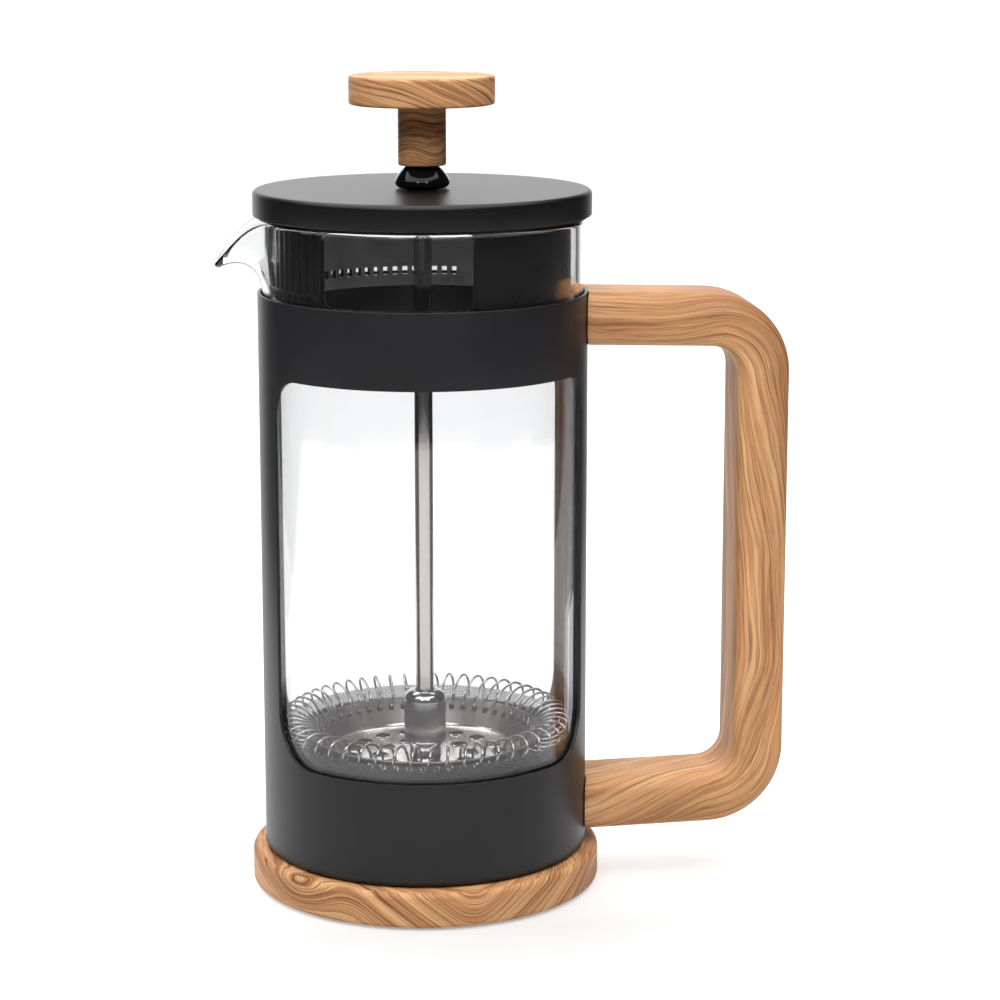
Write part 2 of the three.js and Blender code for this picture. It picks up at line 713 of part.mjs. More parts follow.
// ---------- Filter ----------
function springPlate() {
  const bore = ROD_RADIUS + GAP;
  const under = PLATE_FLOOR - PLATE_SHEET;
  const foot = PLATE_SHEET / 2; // how far the wall's foot runs beyond the floor
  const body = turnedRing(
    [
      point(bore, under),
      point(PLATE_FLOOR_RADIUS + foot, under),
      point(PLATE_RIM_RADIUS - PLATE_RIM_BEAD, PLATE_RIM - 2 * PLATE_RIM_BEAD),
      point(PLATE_RIM_RADIUS, PLATE_RIM - PLATE_RIM_BEAD),
      point(PLATE_RIM_RADIUS, PLATE_RIM),
      point(PLATE_RIM_RADIUS - PLATE_SHEET, PLATE_RIM),
      point(PLATE_FLOOR_RADIUS - foot, PLATE_FLOOR),
      point(bore, PLATE_FLOOR),
    ],
    MIDDLE,
  );
  const hole = () => pin(PLATE_HOLE, under - 1, PLATE_FLOOR + 1, 7);
  return cut(
    body,
    PLATE_HOLES.flatMap(({ count, circle }) => ringOf(count, circle, hole)),
  );
}

function coilSpring() {
  return turnedRing(arc(SPRING_CIRCLE, SPRING_HEIGHT, SPRING_COIL, 0, 315, 7), MIDDLE);
}

function meshScreen() {
  const bore = ROD_RADIUS + GAP;
  const top = PLATE_FLOOR - PLATE_SHEET - GAP;
  const under = top - MESH_SHEET;
  const foldRadius = MESH_RADIUS - MESH_BEND;
  const foldHeight = under + MESH_FOLD + MESH_BEND;
  return turnedRing(
    [
      point(bore, under),
      point(PLATE_FLOOR_RADIUS, under),
      ...arc(foldRadius, foldHeight, MESH_BEND, -60, 0, 2),
      point(MESH_RADIUS, MESH_RIM),
      point(MESH_RADIUS - MESH_SHEET, MESH_RIM),
      ...arc(foldRadius, foldHeight, MESH_BEND - MESH_SHEET, 0, -60, 2),
      point(PLATE_FLOOR_RADIUS, top),
      point(bore, top),
    ],
    MIDDLE,
  );
}

function crossPlate() {
  const bore = ROD_RADIUS + GAP;
  const top = PLATE_FLOOR - PLATE_SHEET - MESH_SHEET - 2 * GAP;
  const under = top - CROSS_SHEET;
  const body = turnedRing(
    [
      point(bore, under - CROSS_BOSS_DEPTH),
      point(CROSS_BOSS, under - CROSS_BOSS_DEPTH),
      point(CROSS_BOSS, under),
      point(CROSS_RADIUS, under),
      point(CROSS_RADIUS, top),
      point(bore, top),
    ],
    MIDDLE,
  );
  const hole = () => pin(CROSS_HOLE, under - 1, top + 1, TINY);
  return cut(body, ringOf(CROSS_HOLES, CROSS_HOLE_CIRCLE, hole));
}

// ---------- Assembly ----------
const press = new THREE.Group();

function add(name, geometry, look, group = press) {
  const mesh = new THREE.Mesh(geometry, look);
  mesh.name = name;
  group.add(mesh);
}

add("base_disc", baseDisc(), WOOD);
add("non_slip_pad", nonSlipPad(), RUBBER);
baseScrewPlaces(baseScrew).forEach((screw, i) => add(`base_screw_${i + 1}`, screw, ZINC));
add("holder_sleeve", holderSleeve(), BLACK_PAINT);
add("holder_floor", holderFloor(), ZINC);
add("glass_cushion", glassCushion(), RUBBER);
add("handle", handle(), WOOD);
const ends = ["upper", "lower"];
handleScrewPlaces(handleInsert).forEach((insert, i) => add(`handle_insert_${ends[i]}`, insert, BRASS));
handleScrewPlaces(handleScrew).forEach((screw, i) => add(`handle_screw_${ends[i]}`, screw, ZINC));
add("glass_beaker", glassBeaker(), GLASS);
add("guide_bush", guideBush(), GLOSS_BLACK);
add("guide_nut", guideNut(), ZINC);
add("lid_cap", lidCap(), BLACK_PAINT);
add("strainer_collar", strainerCollar(), BLACK_PLASTIC);
add("knob", knob(), WOOD);
add("knob_insert", knobInsert(), BRASS);
add("plunger_rod", plungerRod(), STEEL);
add("hub_nut", hubNut(), STEEL);
add("spring_plate", springPlate(), STEEL);
add("coil_spring", coilSpring(), STEEL);
add("mesh_screen", meshScreen(), STEEL);
add("cross_plate", crossPlate(), STEEL);

export default press;
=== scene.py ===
import json
import math

import bmesh
import bpy
import numpy as np
from mathutils import Euler, Matrix, Vector

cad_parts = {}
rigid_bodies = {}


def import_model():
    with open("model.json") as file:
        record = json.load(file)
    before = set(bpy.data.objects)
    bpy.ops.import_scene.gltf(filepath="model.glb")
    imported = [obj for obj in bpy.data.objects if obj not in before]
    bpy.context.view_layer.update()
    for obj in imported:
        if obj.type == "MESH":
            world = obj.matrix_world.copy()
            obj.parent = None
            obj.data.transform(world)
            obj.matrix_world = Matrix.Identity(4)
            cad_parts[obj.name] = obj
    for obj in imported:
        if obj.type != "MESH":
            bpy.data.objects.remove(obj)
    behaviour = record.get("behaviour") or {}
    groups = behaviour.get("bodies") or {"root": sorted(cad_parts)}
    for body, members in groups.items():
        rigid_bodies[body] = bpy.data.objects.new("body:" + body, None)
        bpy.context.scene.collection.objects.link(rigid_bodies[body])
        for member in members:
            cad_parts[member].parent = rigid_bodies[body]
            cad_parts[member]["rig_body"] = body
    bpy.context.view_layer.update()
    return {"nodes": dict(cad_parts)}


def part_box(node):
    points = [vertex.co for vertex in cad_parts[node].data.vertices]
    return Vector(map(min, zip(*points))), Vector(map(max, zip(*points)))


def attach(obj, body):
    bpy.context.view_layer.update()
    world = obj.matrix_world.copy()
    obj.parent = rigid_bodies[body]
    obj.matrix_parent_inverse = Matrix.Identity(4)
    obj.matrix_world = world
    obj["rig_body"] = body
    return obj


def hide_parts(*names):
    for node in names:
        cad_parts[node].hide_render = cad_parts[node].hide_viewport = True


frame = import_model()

MM = 0.001


# ---------- Sizes read from the frame ----------
def low(node):
    """The lowest corner of a CAD node, in millimetres."""
    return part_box(node)[0] / MM


def high(node):
    """The highest corner of a CAD node, in millimetres. The x of a round node is its radius."""
    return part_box(node)[1] / MM


GAP = 0.3  # between neighbouring pieces
PAST = 1  # a cutting tool starts and ends this far outside the piece that it cuts
SIDES = 256  # of the large round pieces
SMALL_SIDES = 96
EDGE_BEVEL = 0.12  # on the CAD pieces that stay
SIDEWAYS = Matrix.Rotation(math.pi / 2, 4, "Y")

BASE_RADIUS, BASE_BOTTOM, BASE_TOP = high("base_disc").x, low("base_disc").z, high("base_disc").z
PAD_RADIUS, PAD_TOP = high("non_slip_pad").x, high("non_slip_pad").z
HOLDER_RADIUS, HOLDER_WALL = high("holder_sleeve").x, 0.8
HOLDER_BOTTOM, HOLDER_TOP = low("holder_sleeve").z, high("holder_sleeve").z
GLASS_RADIUS, GLASS_BOTTOM, GLASS_TOP = high("glass_beaker").x, low("glass_beaker").z, high("glass_beaker").z
LID_RADIUS, LID_BOTTOM, LID_TOP = high("lid_cap").x, low("lid_cap").z, high("lid_cap").z
LID_SHEET = 0.8
BUSH_TOP, BUSH_BULGE, BUSH_TUBE_BOTTOM = high("guide_bush").z, high("guide_bush").x, low("guide_bush").z
KNOB_RADIUS, KNOB_TOP, STEM_BOTTOM = high("knob").x, high("knob").z, low("knob").z
ROD_RADIUS, ROD_BOTTOM, ROD_TOP = high("plunger_rod").x, low("plunger_rod").z, high("plunger_rod").z
HUB_RADIUS, HUB_BOTTOM, HUB_TOP = high("hub_nut").x, low("hub_nut").z, high("hub_nut").z
PLATE_RADIUS, PLATE_RIM = high("spring_plate").x, high("spring_plate").z
MESH_RADIUS, MESH_BOTTOM, MESH_RIM = high("mesh_screen").x, low("mesh_screen").z, high("mesh_screen").z
CROSS_RADIUS, CROSS_BOTTOM, CROSS_TOP = high("cross_plate").x, low("cross_plate").z, high("cross_plate").z
ROD_BORE = ROD_RADIUS + GAP


# ---------- Mesh helpers ----------
def arc(radius_at, height_at, radius, start, end, steps):
    """Points of an arc in a profile, both ends included. Angles are degrees, 0 outwards and 90 up."""
    angles = np.radians(np.linspace(start, end, steps + 1))
    return [(radius_at + radius * math.cos(a), height_at + radius * math.sin(a)) for a in angles]


def new_object(name, vertices, faces):
    """A mesh object from vertices in millimetres."""
    mesh = bpy.data.meshes.new(name)
    mesh.from_pydata([tuple(MM * c for c in v) for v in vertices], [], faces)
    mesh.validate()
    made = bpy.data.objects.new(name, mesh)
    bpy.context.scene.collection.objects.link(made)
    return made


def join_rows(rows, ring):
    """Quads between neighbouring rows of vertex numbers, and from the last row to the first in a ring.
    A row of one number is a pole."""
    pairs = list(zip(rows, rows[1:])) + ([(rows[-1], rows[0])] if ring else [])
    faces = []
    for lower, upper in pairs:
        count = max(len(lower), len(upper))
        for i in range(count):
            j = (i + 1) % count
            corners = [row[k % len(row)] for row, k in [(lower, i), (lower, j), (upper, j), (upper, i)]]
            face = tuple(dict.fromkeys(corners))
            if len(face) > 2:
                faces.append(face)
    return faces


def turned(name, profile, sides=SIDES, ring=False, stretch=None):
    """A body turned about Z from (radius, height) points, the outside listed upwards. The profile of a ring
    closes on itself. stretch(x, y, z) may move each point."""
    vertices, rows = [], []
    for radius, height in profile:
        turns = 1 if radius == 0 else sides
        rows.append(range(len(vertices), len(vertices) + turns))
        for i in range(turns):
            angle = 2 * math.pi * i / sides
            place = (radius * math.cos(angle), radius * math.sin(angle), height)
            vertices.append(stretch(*place) if stretch else place)
    return new_object(name, vertices, join_rows(rows, ring))


def combined(body, tool, operation):
    """body after a boolean with tool, which is used up."""
    modifier = body.modifiers.new("combine", "BOOLEAN")
    modifier.operation = operation
    modifier.object = tool
    modifier.solver = "EXACT"
    bpy.context.view_layer.update()
    evaluated = body.evaluated_get(bpy.context.evaluated_depsgraph_get())
    mesh = bpy.data.meshes.new_from_object(evaluated)
    body.modifiers.clear()
    body.data = mesh
    mesh.name = body.name
    bpy.data.objects.remove(tool)
    return body


def merged(name, pieces):
    """One object from several, which are used up."""
    whole = bmesh.new()
    for piece in pieces:
        piece.data.transform(piece.matrix_world)
        whole.from_mesh(piece.data)
        bpy.data.objects.remove(piece)
    mesh = bpy.data.meshes.new(name)
    whole.to_mesh(mesh)
    whole.free()
    made = bpy.data.objects.new(name, mesh)
    bpy.context.scene.collection.objects.link(made)
    return made


def moved(piece, turn=0.0, shift=(0, 0, 0), tilt=None):
    """piece turned about Z by an angle in radians, after a shift in millimetres and a tilt."""
    matrix = Matrix.Rotation(turn, 4, "Z") @ Matrix.Translation(Vector(shift) * MM)
    piece.data.transform(matrix @ tilt if tilt else matrix)
    return piece


def pin(radius, bottom, top, sides=24):
    """A straight cylinder along Z, a cutting tool."""
    return turned("pin", [(0, bottom), (radius, bottom), (radius, top), (0, top)], sides)


def cut(body, tools):
    """body without the room that the tools take, which are used up."""
    return combined(body, merged("tools", tools), "DIFFERENCE")


def ring_of(count, circle, piece):
    """Pieces round Z on a circle of that radius, the first towards +X. Each is made by calling piece."""
    return [moved(piece(), 2 * math.pi * i / count, (circle, 0, 0)) for i in range(count)]


def block(width, depth, bottom, top, radius, angle):
    """A box on a circle round Z: width is along the circle and depth along the radius."""
    half, near, far = width / 2, radius - depth / 2, radius + depth / 2
    corners = [(x, y, z) for x in (near, far) for y in (-half, half) for z in (bottom, top)]
    faces = [(0, 1, 3, 2), (4, 6, 7, 5), (0, 4, 5, 1), (2, 3, 7, 6), (0, 2, 6, 4), (1, 5, 7, 3)]
    return moved(new_object("block", corners, faces), angle)


def window_cutter(wall, bottom, top, start, end, low_round, high_round):
    """A cutter for a window in a wall of that radius: a block bent round Z, with radial sides and rounded
    corners. Angles are radians from -Y towards +X."""
    reach, columns, steps = 5, 64, 14
    turns = np.linspace(0, math.pi / 2, steps + 1)
    rows = [(bottom + low_round * (1 - math.cos(t)), low_round * (1 - math.sin(t))) for t in turns]
    rows += [(top - high_round * (1 - math.sin(t)), high_round * (1 - math.cos(t))) for t in turns]
    vertices = []
    for radius in (wall + reach, wall - reach):
        for height, inset in rows:
            half = (end - start) / 2 - inset / wall
            for angle in np.linspace(-half, half, columns + 1) + (start + end) / 2:
                vertices.append((radius * math.sin(angle), -radius * math.cos(angle), height))
    width, tall = columns + 1, len(rows)

    def at(side, row, column):
        return (side * tall + row) * width + column

    faces = []
    for row in range(tall - 1):
        for column in range(columns):
            cell = [(row, column), (row, column + 1), (row + 1, column + 1), (row + 1, column)]
            faces.append([at(0, *c) for c in cell])
            faces.append([at(1, *c) for c in reversed(cell)])
        for column in (0, columns):
            edge = [at(0, row, column), at(0, row + 1, column), at(1, row + 1, column), at(1, row, column)]
            faces.append(edge if column == 0 else edge[::-1])
    for row in (0, tall - 1):
        for column in range(columns):
            edge = [at(0, row, column), at(1, row, column), at(1, row, column + 1), at(0, row, column + 1)]
            faces.append(edge if row == 0 else edge[::-1])
    return new_object("window", vertices, faces)


def tube(name, path, radius, sides=10):
    """A round wire along a closed path, an array of points."""
    ahead = np.roll(path, -1, axis=0) - np.roll(path, 1, axis=0)
    ahead /= np.linalg.norm(ahead, axis=1, keepdims=True)
    across = np.cross(ahead, np.array([0.0, 0.0, 1.0]))
    across /= np.linalg.norm(across, axis=1, keepdims=True)
    up = np.cross(across, ahead)
    angles = 2 * np.pi * np.arange(sides) / sides
    vertices = (
        path[:, None, :]
        + radius * np.cos(angles)[None, :, None] * across[:, None, :]
        + radius * np.sin(angles)[None, :, None] * up[:, None, :]
    )
    rows = [range(i * sides, (i + 1) * sides) for i in range(len(path))]
    return new_object(name, vertices.reshape(-1, 3), join_rows(rows, True))


def faired(piece, sharp=35):
    """Smooth shading, with edges over that many degrees kept sharp, and every face pointing out."""
    whole = bmesh.new()
    whole.from_mesh(piece.data)
    bmesh.ops.recalc_face_normals(whole, faces=whole.faces)
    whole.to_mesh(piece.data)
    whole.free()
    piece.data.shade_smooth()
    piece.data.set_sharp_from_angle(angle=math.radians(sharp))
    return piece


def points_of(piece):
    """A piece's vertices as an array, in millimetres."""
    flat = np.zeros(3 * len(piece.data.vertices))
    piece.data.vertices.foreach_get("co", flat)
    return flat.reshape(-1, 3) / MM


def keep_vector(piece, name, values):
    """Stores a vector for each vertex, where a material can read it."""
    attribute = piece.data.attributes.new(name, "FLOAT_VECTOR", "POINT")
    attribute.data.foreach_set("vector", np.asarray(values, np.float32).ravel())


def keep_number(piece, name, values):
    """Stores a number for each vertex, where a material can read it."""
    attribute = piece.data.attributes.new(name, "FLOAT", "POINT")
    attribute.data.foreach_set("value", np.asarray(values, np.float32))


def finished(piece, material, node):
    """The piece in its material, standing for a CAD node and moving with that node's body."""
    piece.data.materials.clear()
    piece.data.materials.append(material)
    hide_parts(node)
    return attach(piece, frame["nodes"][node]["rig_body"])


# ---------- Materials ----------
class Shading:
    """A node tree and short ways to add nodes to it."""

    def __init__(self, tree):
        self.tree = tree

    def node(self, kind, inputs=None, **settings):
        """A new node. An input is a value, or another node's output."""
        made = self.tree.nodes.new(kind)
        for key, value in settings.items():
            setattr(made, key, value)
        for key, value in (inputs or {}).items():
            self.feed(made.inputs[key], value)
        return made

    def feed(self, socket, value):
        if isinstance(value, bpy.types.NodeSocket):
            self.tree.links.new(value, socket)
        else:
            socket.default_value = value

    def math(self, operation, first, second=0.0):
        return self.node("ShaderNodeMath", {0: first, 1: second}, operation=operation).outputs[0]

    def between(self, value, span, ends, **settings):
        """The number between two ends that is as far along as the value is along its span."""
        limits = zip(("From Min", "From Max", "To Min", "To Max"), (*span, *ends))
        return self.node("ShaderNodeMapRange", {"Value": value, **dict(limits)}, **settings).outputs[0]


class Look(Shading):
    """A material and short ways to shade it."""

    def __init__(self, name, **sockets):
        self.material = bpy.data.materials.new(name)
        self.material.use_nodes = True
        super().__init__(self.material.node_tree)
        self.shader = self.tree.nodes["Principled BSDF"]
        self.output = self.tree.nodes["Material Output"]
        for socket, value in sockets.items():
            self.set(socket.replace("_", " "), value)

    def set(self, socket, value):
        self.feed(self.shader.inputs[socket], value)

    def attribute(self, name):
        return self.node("ShaderNodeAttribute", attribute_name=name)

    def stretched(self, vector, scale):
        """A vector whose three parts are each multiplied by their own scale."""
        return self.node("ShaderNodeVectorMath", {0: vector, 1: scale}, operation="MULTIPLY").outputs[0]

    def length(self, vector):
        return self.node("ShaderNodeVectorMath", {0: vector}, operation="LENGTH").outputs["Value"]

    def place(self):
        """Where a point of the piece is, in millimetres."""
        return self.stretched(self.node("ShaderNodeTexCoord").outputs["Object"], (1 / MM,) * 3)

    def from_axis(self):
        """How far a point of the piece is from the Z axis, in millimetres."""
        return self.length(self.stretched(self.place(), (1, 1, 0)))

    def noise(self, vector, scale, detail=2.0, roughness=0.5):
        """Noise of a vector that is stretched first, from 0 to 1."""
        place = self.stretched(vector, scale)
        inputs = {"Vector": place, "Scale": 1.0, "Detail": detail, "Roughness": roughness}
        return self.node("ShaderNodeTexNoise", inputs).outputs["Fac"]

    def ramp(self, value, stops):
        """A colour or grey ramp through (position, colour) stops."""
        made = self.node("ShaderNodeValToRGB", {"Fac": value})
        elements = made.color_ramp.elements
        while len(elements) < len(stops):
            elements.new(0.5)
        for element, (position, colour) in zip(elements, stops):
            element.position = position
            element.color = (colour, colour, colour, 1) if isinstance(colour, (int, float)) else (*colour, 1)
        return made.outputs["Color"]

    def mix(self, share, first, second, blend="MIX"):
        """The first colour, with a share from 0 to 1 of the second blended into it."""
        inputs = {"Factor": share, "A": first, "B": second}
        made = self.node("ShaderNodeMix", data_type="RGBA", blend_type=blend)
        for key, value in inputs.items():
            socket = next(s for s in made.inputs if s.name == key and (key == "Factor" or s.type == "RGBA"))
            self.feed(socket, value)
        return next(s for s in made.outputs if s.type == "RGBA")

    def bump(self, height, distance, strength=1.0):
        """Raises the surface by height times a distance in millimetres."""
        inputs = {"Height": height, "Distance": distance * MM, "Strength": strength}
        self.set("Normal", self.node("ShaderNodeBump", inputs).outputs[0])


WOOD_TINTS = [(0.32, (0.72, 0.42, 0.205)), (0.5, (0.57, 0.29, 0.13)), (0.68, (0.40, 0.175, 0.07))]
WOOD_FIBRE, WOOD_STREAK = (0.84, 0.53, 0.275, 1), (0.27, 0.105, 0.04, 1)
# The last of these darkens the wood where it is darker, and paints shade on the knob's stem.
WOOD_LINE, WOOD_PORE, WOOD_TONE_AND_SHADE = (0.15, 0.05, 0.016, 1), (0.20, 0.068, 0.022, 1), (0.46, 0.37, 0.33, 1)


def wood(name, contrast, closeness):
    """Satin wood. The attribute grain holds millimetres along the grain, across it and in depth, and one more
    attribute darkens it: darker wood, and painted shade on the knob's stem. contrast is how dark the lines
    are, and closeness is their number in 2 pi millimetres."""
    look = Look(name, Specular_IOR_Level=0.15)
    grain = look.attribute("grain").outputs["Vector"]
    split = look.node("ShaderNodeSeparateXYZ", {0: grain}).outputs
    waver = look.math("SUBTRACT", look.noise(grain, (0.024, 0.10, 0.02), 3.0), 0.5)
    across = look.math("ADD", split[1], look.math("MULTIPLY", waver, 6.5))
    bent = look.node("ShaderNodeCombineXYZ", {0: split[0], 1: across, 2: split[2]}).outputs[0]

    broad = look.noise(bent, (0.010, 0.16, 0.03))
    streaks = look.noise(bent, (0.011, 0.62, 0.05), 3.0, 0.6)
    strength = look.noise(bent, (0.045, 0.42, 0.1))
    fibres = look.noise(bent, (0.055, 2.9, 0.4), 4.0, 0.75)
    pores = look.noise(bent, (0.11, 4.0, 0.7), 1.0)
    phase = look.math("ADD", look.math("MULTIPLY", across, closeness), look.math("MULTIPLY", streaks, 15.0))
    wave = look.math("ADD", look.math("MULTIPLY", look.math("SINE", phase), 0.5), 0.5)
    faint = look.ramp(strength, [(0.38, 0.1), (0.62, 1.0)])
    line = look.math("MULTIPLY", look.math("POWER", wave, 5.0), faint)

    light = look.ramp(fibres, [(0.45, 0.0), (0.68, 0.6)])
    fibred = look.mix(light, look.ramp(broad, WOOD_TINTS), WOOD_FIBRE)
    dark = look.ramp(streaks, [(0.46, 0.0), (0.56, 0.35), (0.68, 1.0)])
    streaked = look.mix(look.math("MULTIPLY", dark, 0.75 * contrast), fibred, WOOD_STREAK)
    lined = look.mix(look.math("MULTIPLY", line, 0.85 * contrast), streaked, WOOD_LINE)
    pored = look.mix(look.ramp(pores, [(0.57, 0.0), (0.70, 0.55)]), lined, WOOD_PORE)
    look.set("Base Color", look.mix(look.attribute("tone_and_shade").outputs["Fac"], pored, WOOD_TONE_AND_SHADE, "MULTIPLY"))
    look.set("Roughness", look.ramp(fibres, [(0.3, 0.42), (0.7, 0.56)]))
    look.bump(look.math("SUBTRACT", fibres, look.math("MULTIPLY", line, 0.5)), 0.05, 0.35)
    return look.material


def powder_coat(name, depth):
    """Matte black paint with the fine orange peel of a powder coat. A depth of 1 is a warm black, and less is
    blacker."""
    look = Look(name, Specular_IOR_Level=0.28)
    peel = look.noise(look.place(), (4.0, 4.0, 4.0), 2.0, 0.6)
    cloud = look.noise(look.place(), (0.05, 0.05, 0.05))
    dark, light = np.multiply(depth, [(0.0110, 0.0105, 0.0118), (0.0140, 0.0133, 0.0150)])
    look.set("Base Color", look.ramp(cloud, [(0.3, dark), (0.7, light)]))
    look.set("Roughness", look.ramp(peel, [(0.3, 0.33), (0.7, 0.43)]))
    look.bump(peel, 0.01, 0.3)
    return look.material


def plastic(name, colour, smooth, rough, shine=0.5):
    """Moulded plastic with a faint uneven gloss, between two roughnesses."""
    look = Look(name, Base_Color=(*colour, 1), Specular_IOR_Level=shine)
    cloud = look.noise(look.place(), (0.12, 0.12, 0.12), 3.0)
    look.set("Roughness", look.ramp(cloud, [(0.3, smooth), (0.7, rough)]))
    look.bump(look.noise(look.place(), (0.8, 0.8, 0.8)), 0.006, 0.2)
    return look.material


def collar_plastic(inner):
    """Black plastic, with the inner wall at that radius in millimetres painted a lighter grey, as painted
    light.
    """
    look = Look("collar_plastic", Specular_IOR_Level=0.35)
    cloud = look.noise(look.place(), (0.12, 0.12, 0.12), 3.0)
    inside = look.math("LESS_THAN", look.from_axis(), inner + 0.05)
    # Painted light: the inner wall is given a light grey colour, for the light seen on it inside the collar.
    painted_light_inside = look.ramp(cloud, [(0.3, (0.22, 0.22, 0.225)), (0.7, (0.29, 0.29, 0.295))])
    look.set("Base Color", look.mix(inside, (0.003, 0.003, 0.0033, 1), painted_light_inside))
    look.set("Roughness", look.ramp(cloud, [(0.3, 0.26), (0.7, 0.36)]))
    return look.material


def metal(name, colour, roughness, brushed=(0.6, 0.6, 0.6), scratches=0.12):
    """Bare metal with fine marks that run along the smallest scale of brushed."""
    look = Look(name, Base_Color=(*colour, 1), Metallic=1.0)
    marks = look.noise(look.place(), brushed, 3.0, 0.6)
    smooth, rough = roughness * (1 - scratches), roughness * (1 + scratches) + 0.03
    look.set("Roughness", look.ramp(marks, [(0.25, smooth), (0.75, rough)]))
    look.bump(marks, 0.004, 0.25)
    return look.material


def plate_steel(floor_radius):
    """Pressed steel, bright on the floor. On the drawn wall beyond that radius in millimetres it is rougher
    and painted dark, as painted shade.
    """
    look = Look("plate_steel", Metallic=1.0)
    marks = look.noise(look.place(), (0.6, 0.6, 0.6), 3.0, 0.6)
    wall = look.math("GREATER_THAN", look.from_axis(), floor_radius)
    # Painted shade: the wall's steel is given a dark colour, the floor's a bright one.
    look.set("Base Color", look.mix(wall, (0.70, 0.665, 0.66, 1), (0.22, 0.20, 0.195, 1)))
    polish = look.ramp(marks, [(0.25, 0.15), (0.75, 0.22)])
    look.set("Roughness", look.math("ADD", polish, look.math("MULTIPLY", wall, 0.16)))
    look.bump(marks, 0.004, 0.25)
    return look.material


def woven_steel(pitch):
    """Cloth of wires that many millimetres apart. The attribute weave holds millimetres along both wires."""
    look = Look("mesh_steel", Metallic=1.0, Roughness=0.36)
    split = look.node("ShaderNodeSeparateXYZ", {0: look.attribute("weave").outputs["Vector"]}).outputs
    waves = [look.math("SINE", look.math("MULTIPLY", axis, math.pi / pitch)) for axis in split[:2]]
    cloth = look.math("MAXIMUM", *[look.math("SUBTRACT", 1.0, look.math("ABSOLUTE", wave)) for wave in waves])
    look.set("Alpha", look.ramp(cloth, [(0.64, 0.0), (0.76, 1.0)]))
    # Painted shade and highlight: the wires get a dark steel colour, darkest at their edges and lighter on
    # their crests.
    look.set("Base Color", look.ramp(cloth, [(0.7, (0.03, 0.029, 0.028)), (0.97, (0.16, 0.156, 0.152))]))
    look.bump(cloth, 0.12, 0.8)
    return look.material


def clear_glass():
    """Borosilicate glass that lets the lamps' light through."""
    look = Look("glass", Base_Color=(0.87, 0.873, 0.877, 1), Roughness=0.0, IOR=1.47, Transmission_Weight=1.0)
    look.bump(look.noise(look.place(), (0.03, 0.03, 0.012), 1.0), 0.25, 0.15)
    clear = look.node("ShaderNodeBsdfTransparent", {"Color": (0.95, 0.96, 0.96, 1)}).outputs[0]
    shadow = look.node("ShaderNodeLightPath").outputs["Is Shadow Ray"]
    mixed = look.node("ShaderNodeMixShader", {0: shadow, 1: look.shader.outputs[0], 2: clear})
    look.feed(look.output.inputs["Surface"], mixed.outputs[0])
    return look.material


HANDLE_WOOD = wood("wood_handle", 0.8, 3.4)
BASE_WOOD = wood("wood_base", 1.2, 4.6)
KNOB_WOOD = wood("wood_knob", 1.15, 4.4)
SLEEVE_PAINT = powder_coat("black_powder_coat", 1.0)
LID_PAINT = powder_coat("black_lid_coat", 0.3)
GLOSS_BLACK = plastic("gloss_black", (0.004, 0.004, 0.0045), 0.05, 0.1, 0.2)
RUBBER = plastic("rubber", (0.02, 0.02, 0.02), 0.7, 0.85)
ROD_STEEL = metal("rod_steel", (0.56, 0.54, 0.53), 0.06, (1.6, 1.6, 0.03), 0.5)
STEEL = metal("polished_steel", (0.62, 0.60, 0.60), 0.14)
TURNED_STEEL = metal("turned_steel", (0.47, 0.455, 0.46), 0.13, (0.4, 0.4, 3.0))
PLATE_STEEL = plate_steel(26.0)
WIRE_STEEL = metal("spring_steel", (0.52, 0.51, 0.50), 0.16)
CLOTH_STEEL = woven_steel(0.42)
ZINC = metal("zinc", (0.60, 0.61, 0.63), 0.32)
BRASS = metal("brass", (0.72, 0.50, 0.23), 0.28)
GLASS = clear_glass()


# ---------- Grain of the wooden pieces ----------
def grain_line(along, stops):
    """How far a line of the grain has drifted across, smoothly through (along, drift) stops."""
    places, drifts = zip(*stops)
    spread = np.linspace(-4.0, 4.0, 9)
    return np.mean([np.interp(along + s, places, drifts) for s in spread], axis=0)


def bump_at(along, across, centre, reach, rise):
    """A smooth bump of that height round a point, for a knot or a streak in the grain."""
    far = ((along - centre[0]) / reach[0]) ** 2 + ((across - centre[1]) / reach[1]) ** 2
    return rise * np.exp(-far)


def round_rim(x, y):
    """The angle from -Y towards +X on the front half of a round piece, and its mirror image on the back half.
    The grain has no seam that way."""
    angle = np.arctan2(x, -y)
    return np.where(np.abs(angle) > math.pi / 2, np.sign(angle) * math.pi - angle, angle)


# ---------- Base ----------
def wooden_base():
    recess, recess_top, recess_edge = PAD_RADIUS + GAP, PAD_TOP + GAP, 0.2
    top_round, low_round = 1.8, 1.2
    screw_hole, screw_tip, screw_circle = 1.8, 4.2, 26
    profile = [
        (0, recess_top),
        (recess, recess_top),
        (recess, BASE_BOTTOM + recess_edge),
        (recess + recess_edge, BASE_BOTTOM),
        *arc(BASE_RADIUS - low_round, BASE_BOTTOM + low_round, low_round, -90, 0, 8),
        (BASE_RADIUS, (BASE_BOTTOM + BASE_TOP) / 2),
        *arc(BASE_RADIUS - top_round, BASE_TOP - top_round, top_round, 0, 90, 10),
        *[(radius, BASE_TOP) for radius in (42, 40, 35, 28, 20, 10, 0)],
    ]
    base = turned("base_disc_wood", profile)
    base = cut(base, ring_of(3, screw_circle, lambda: pin(screw_hole, screw_tip, BASE_TOP + PAST)))
    x, y, z = points_of(base).T
    radius = np.hypot(x, y)
    along = BASE_RADIUS * round_rim(x, y)
    up = np.where(z > BASE_TOP - 0.1, z + BASE_RADIUS - radius, z)
    drift = grain_line(along, [(-70, 6), (-24, 3), (8, -22), (52, 8), (70, 8)])
    knot = bump_at(along, up, (-40, 7.5), (11, 5.5), 9)
    depth = 0.2 * radius + 0.8 * np.maximum(y, 0)
    keep_vector(base, "grain", np.stack([along, 1.3 * (up - drift + knot), depth], 1))
    keep_number(base, "tone_and_shade", bump_at(along, up, (-38, 6), (20, 9), 0.32))
    return finished(faired(base), BASE_WOOD, "base_disc")


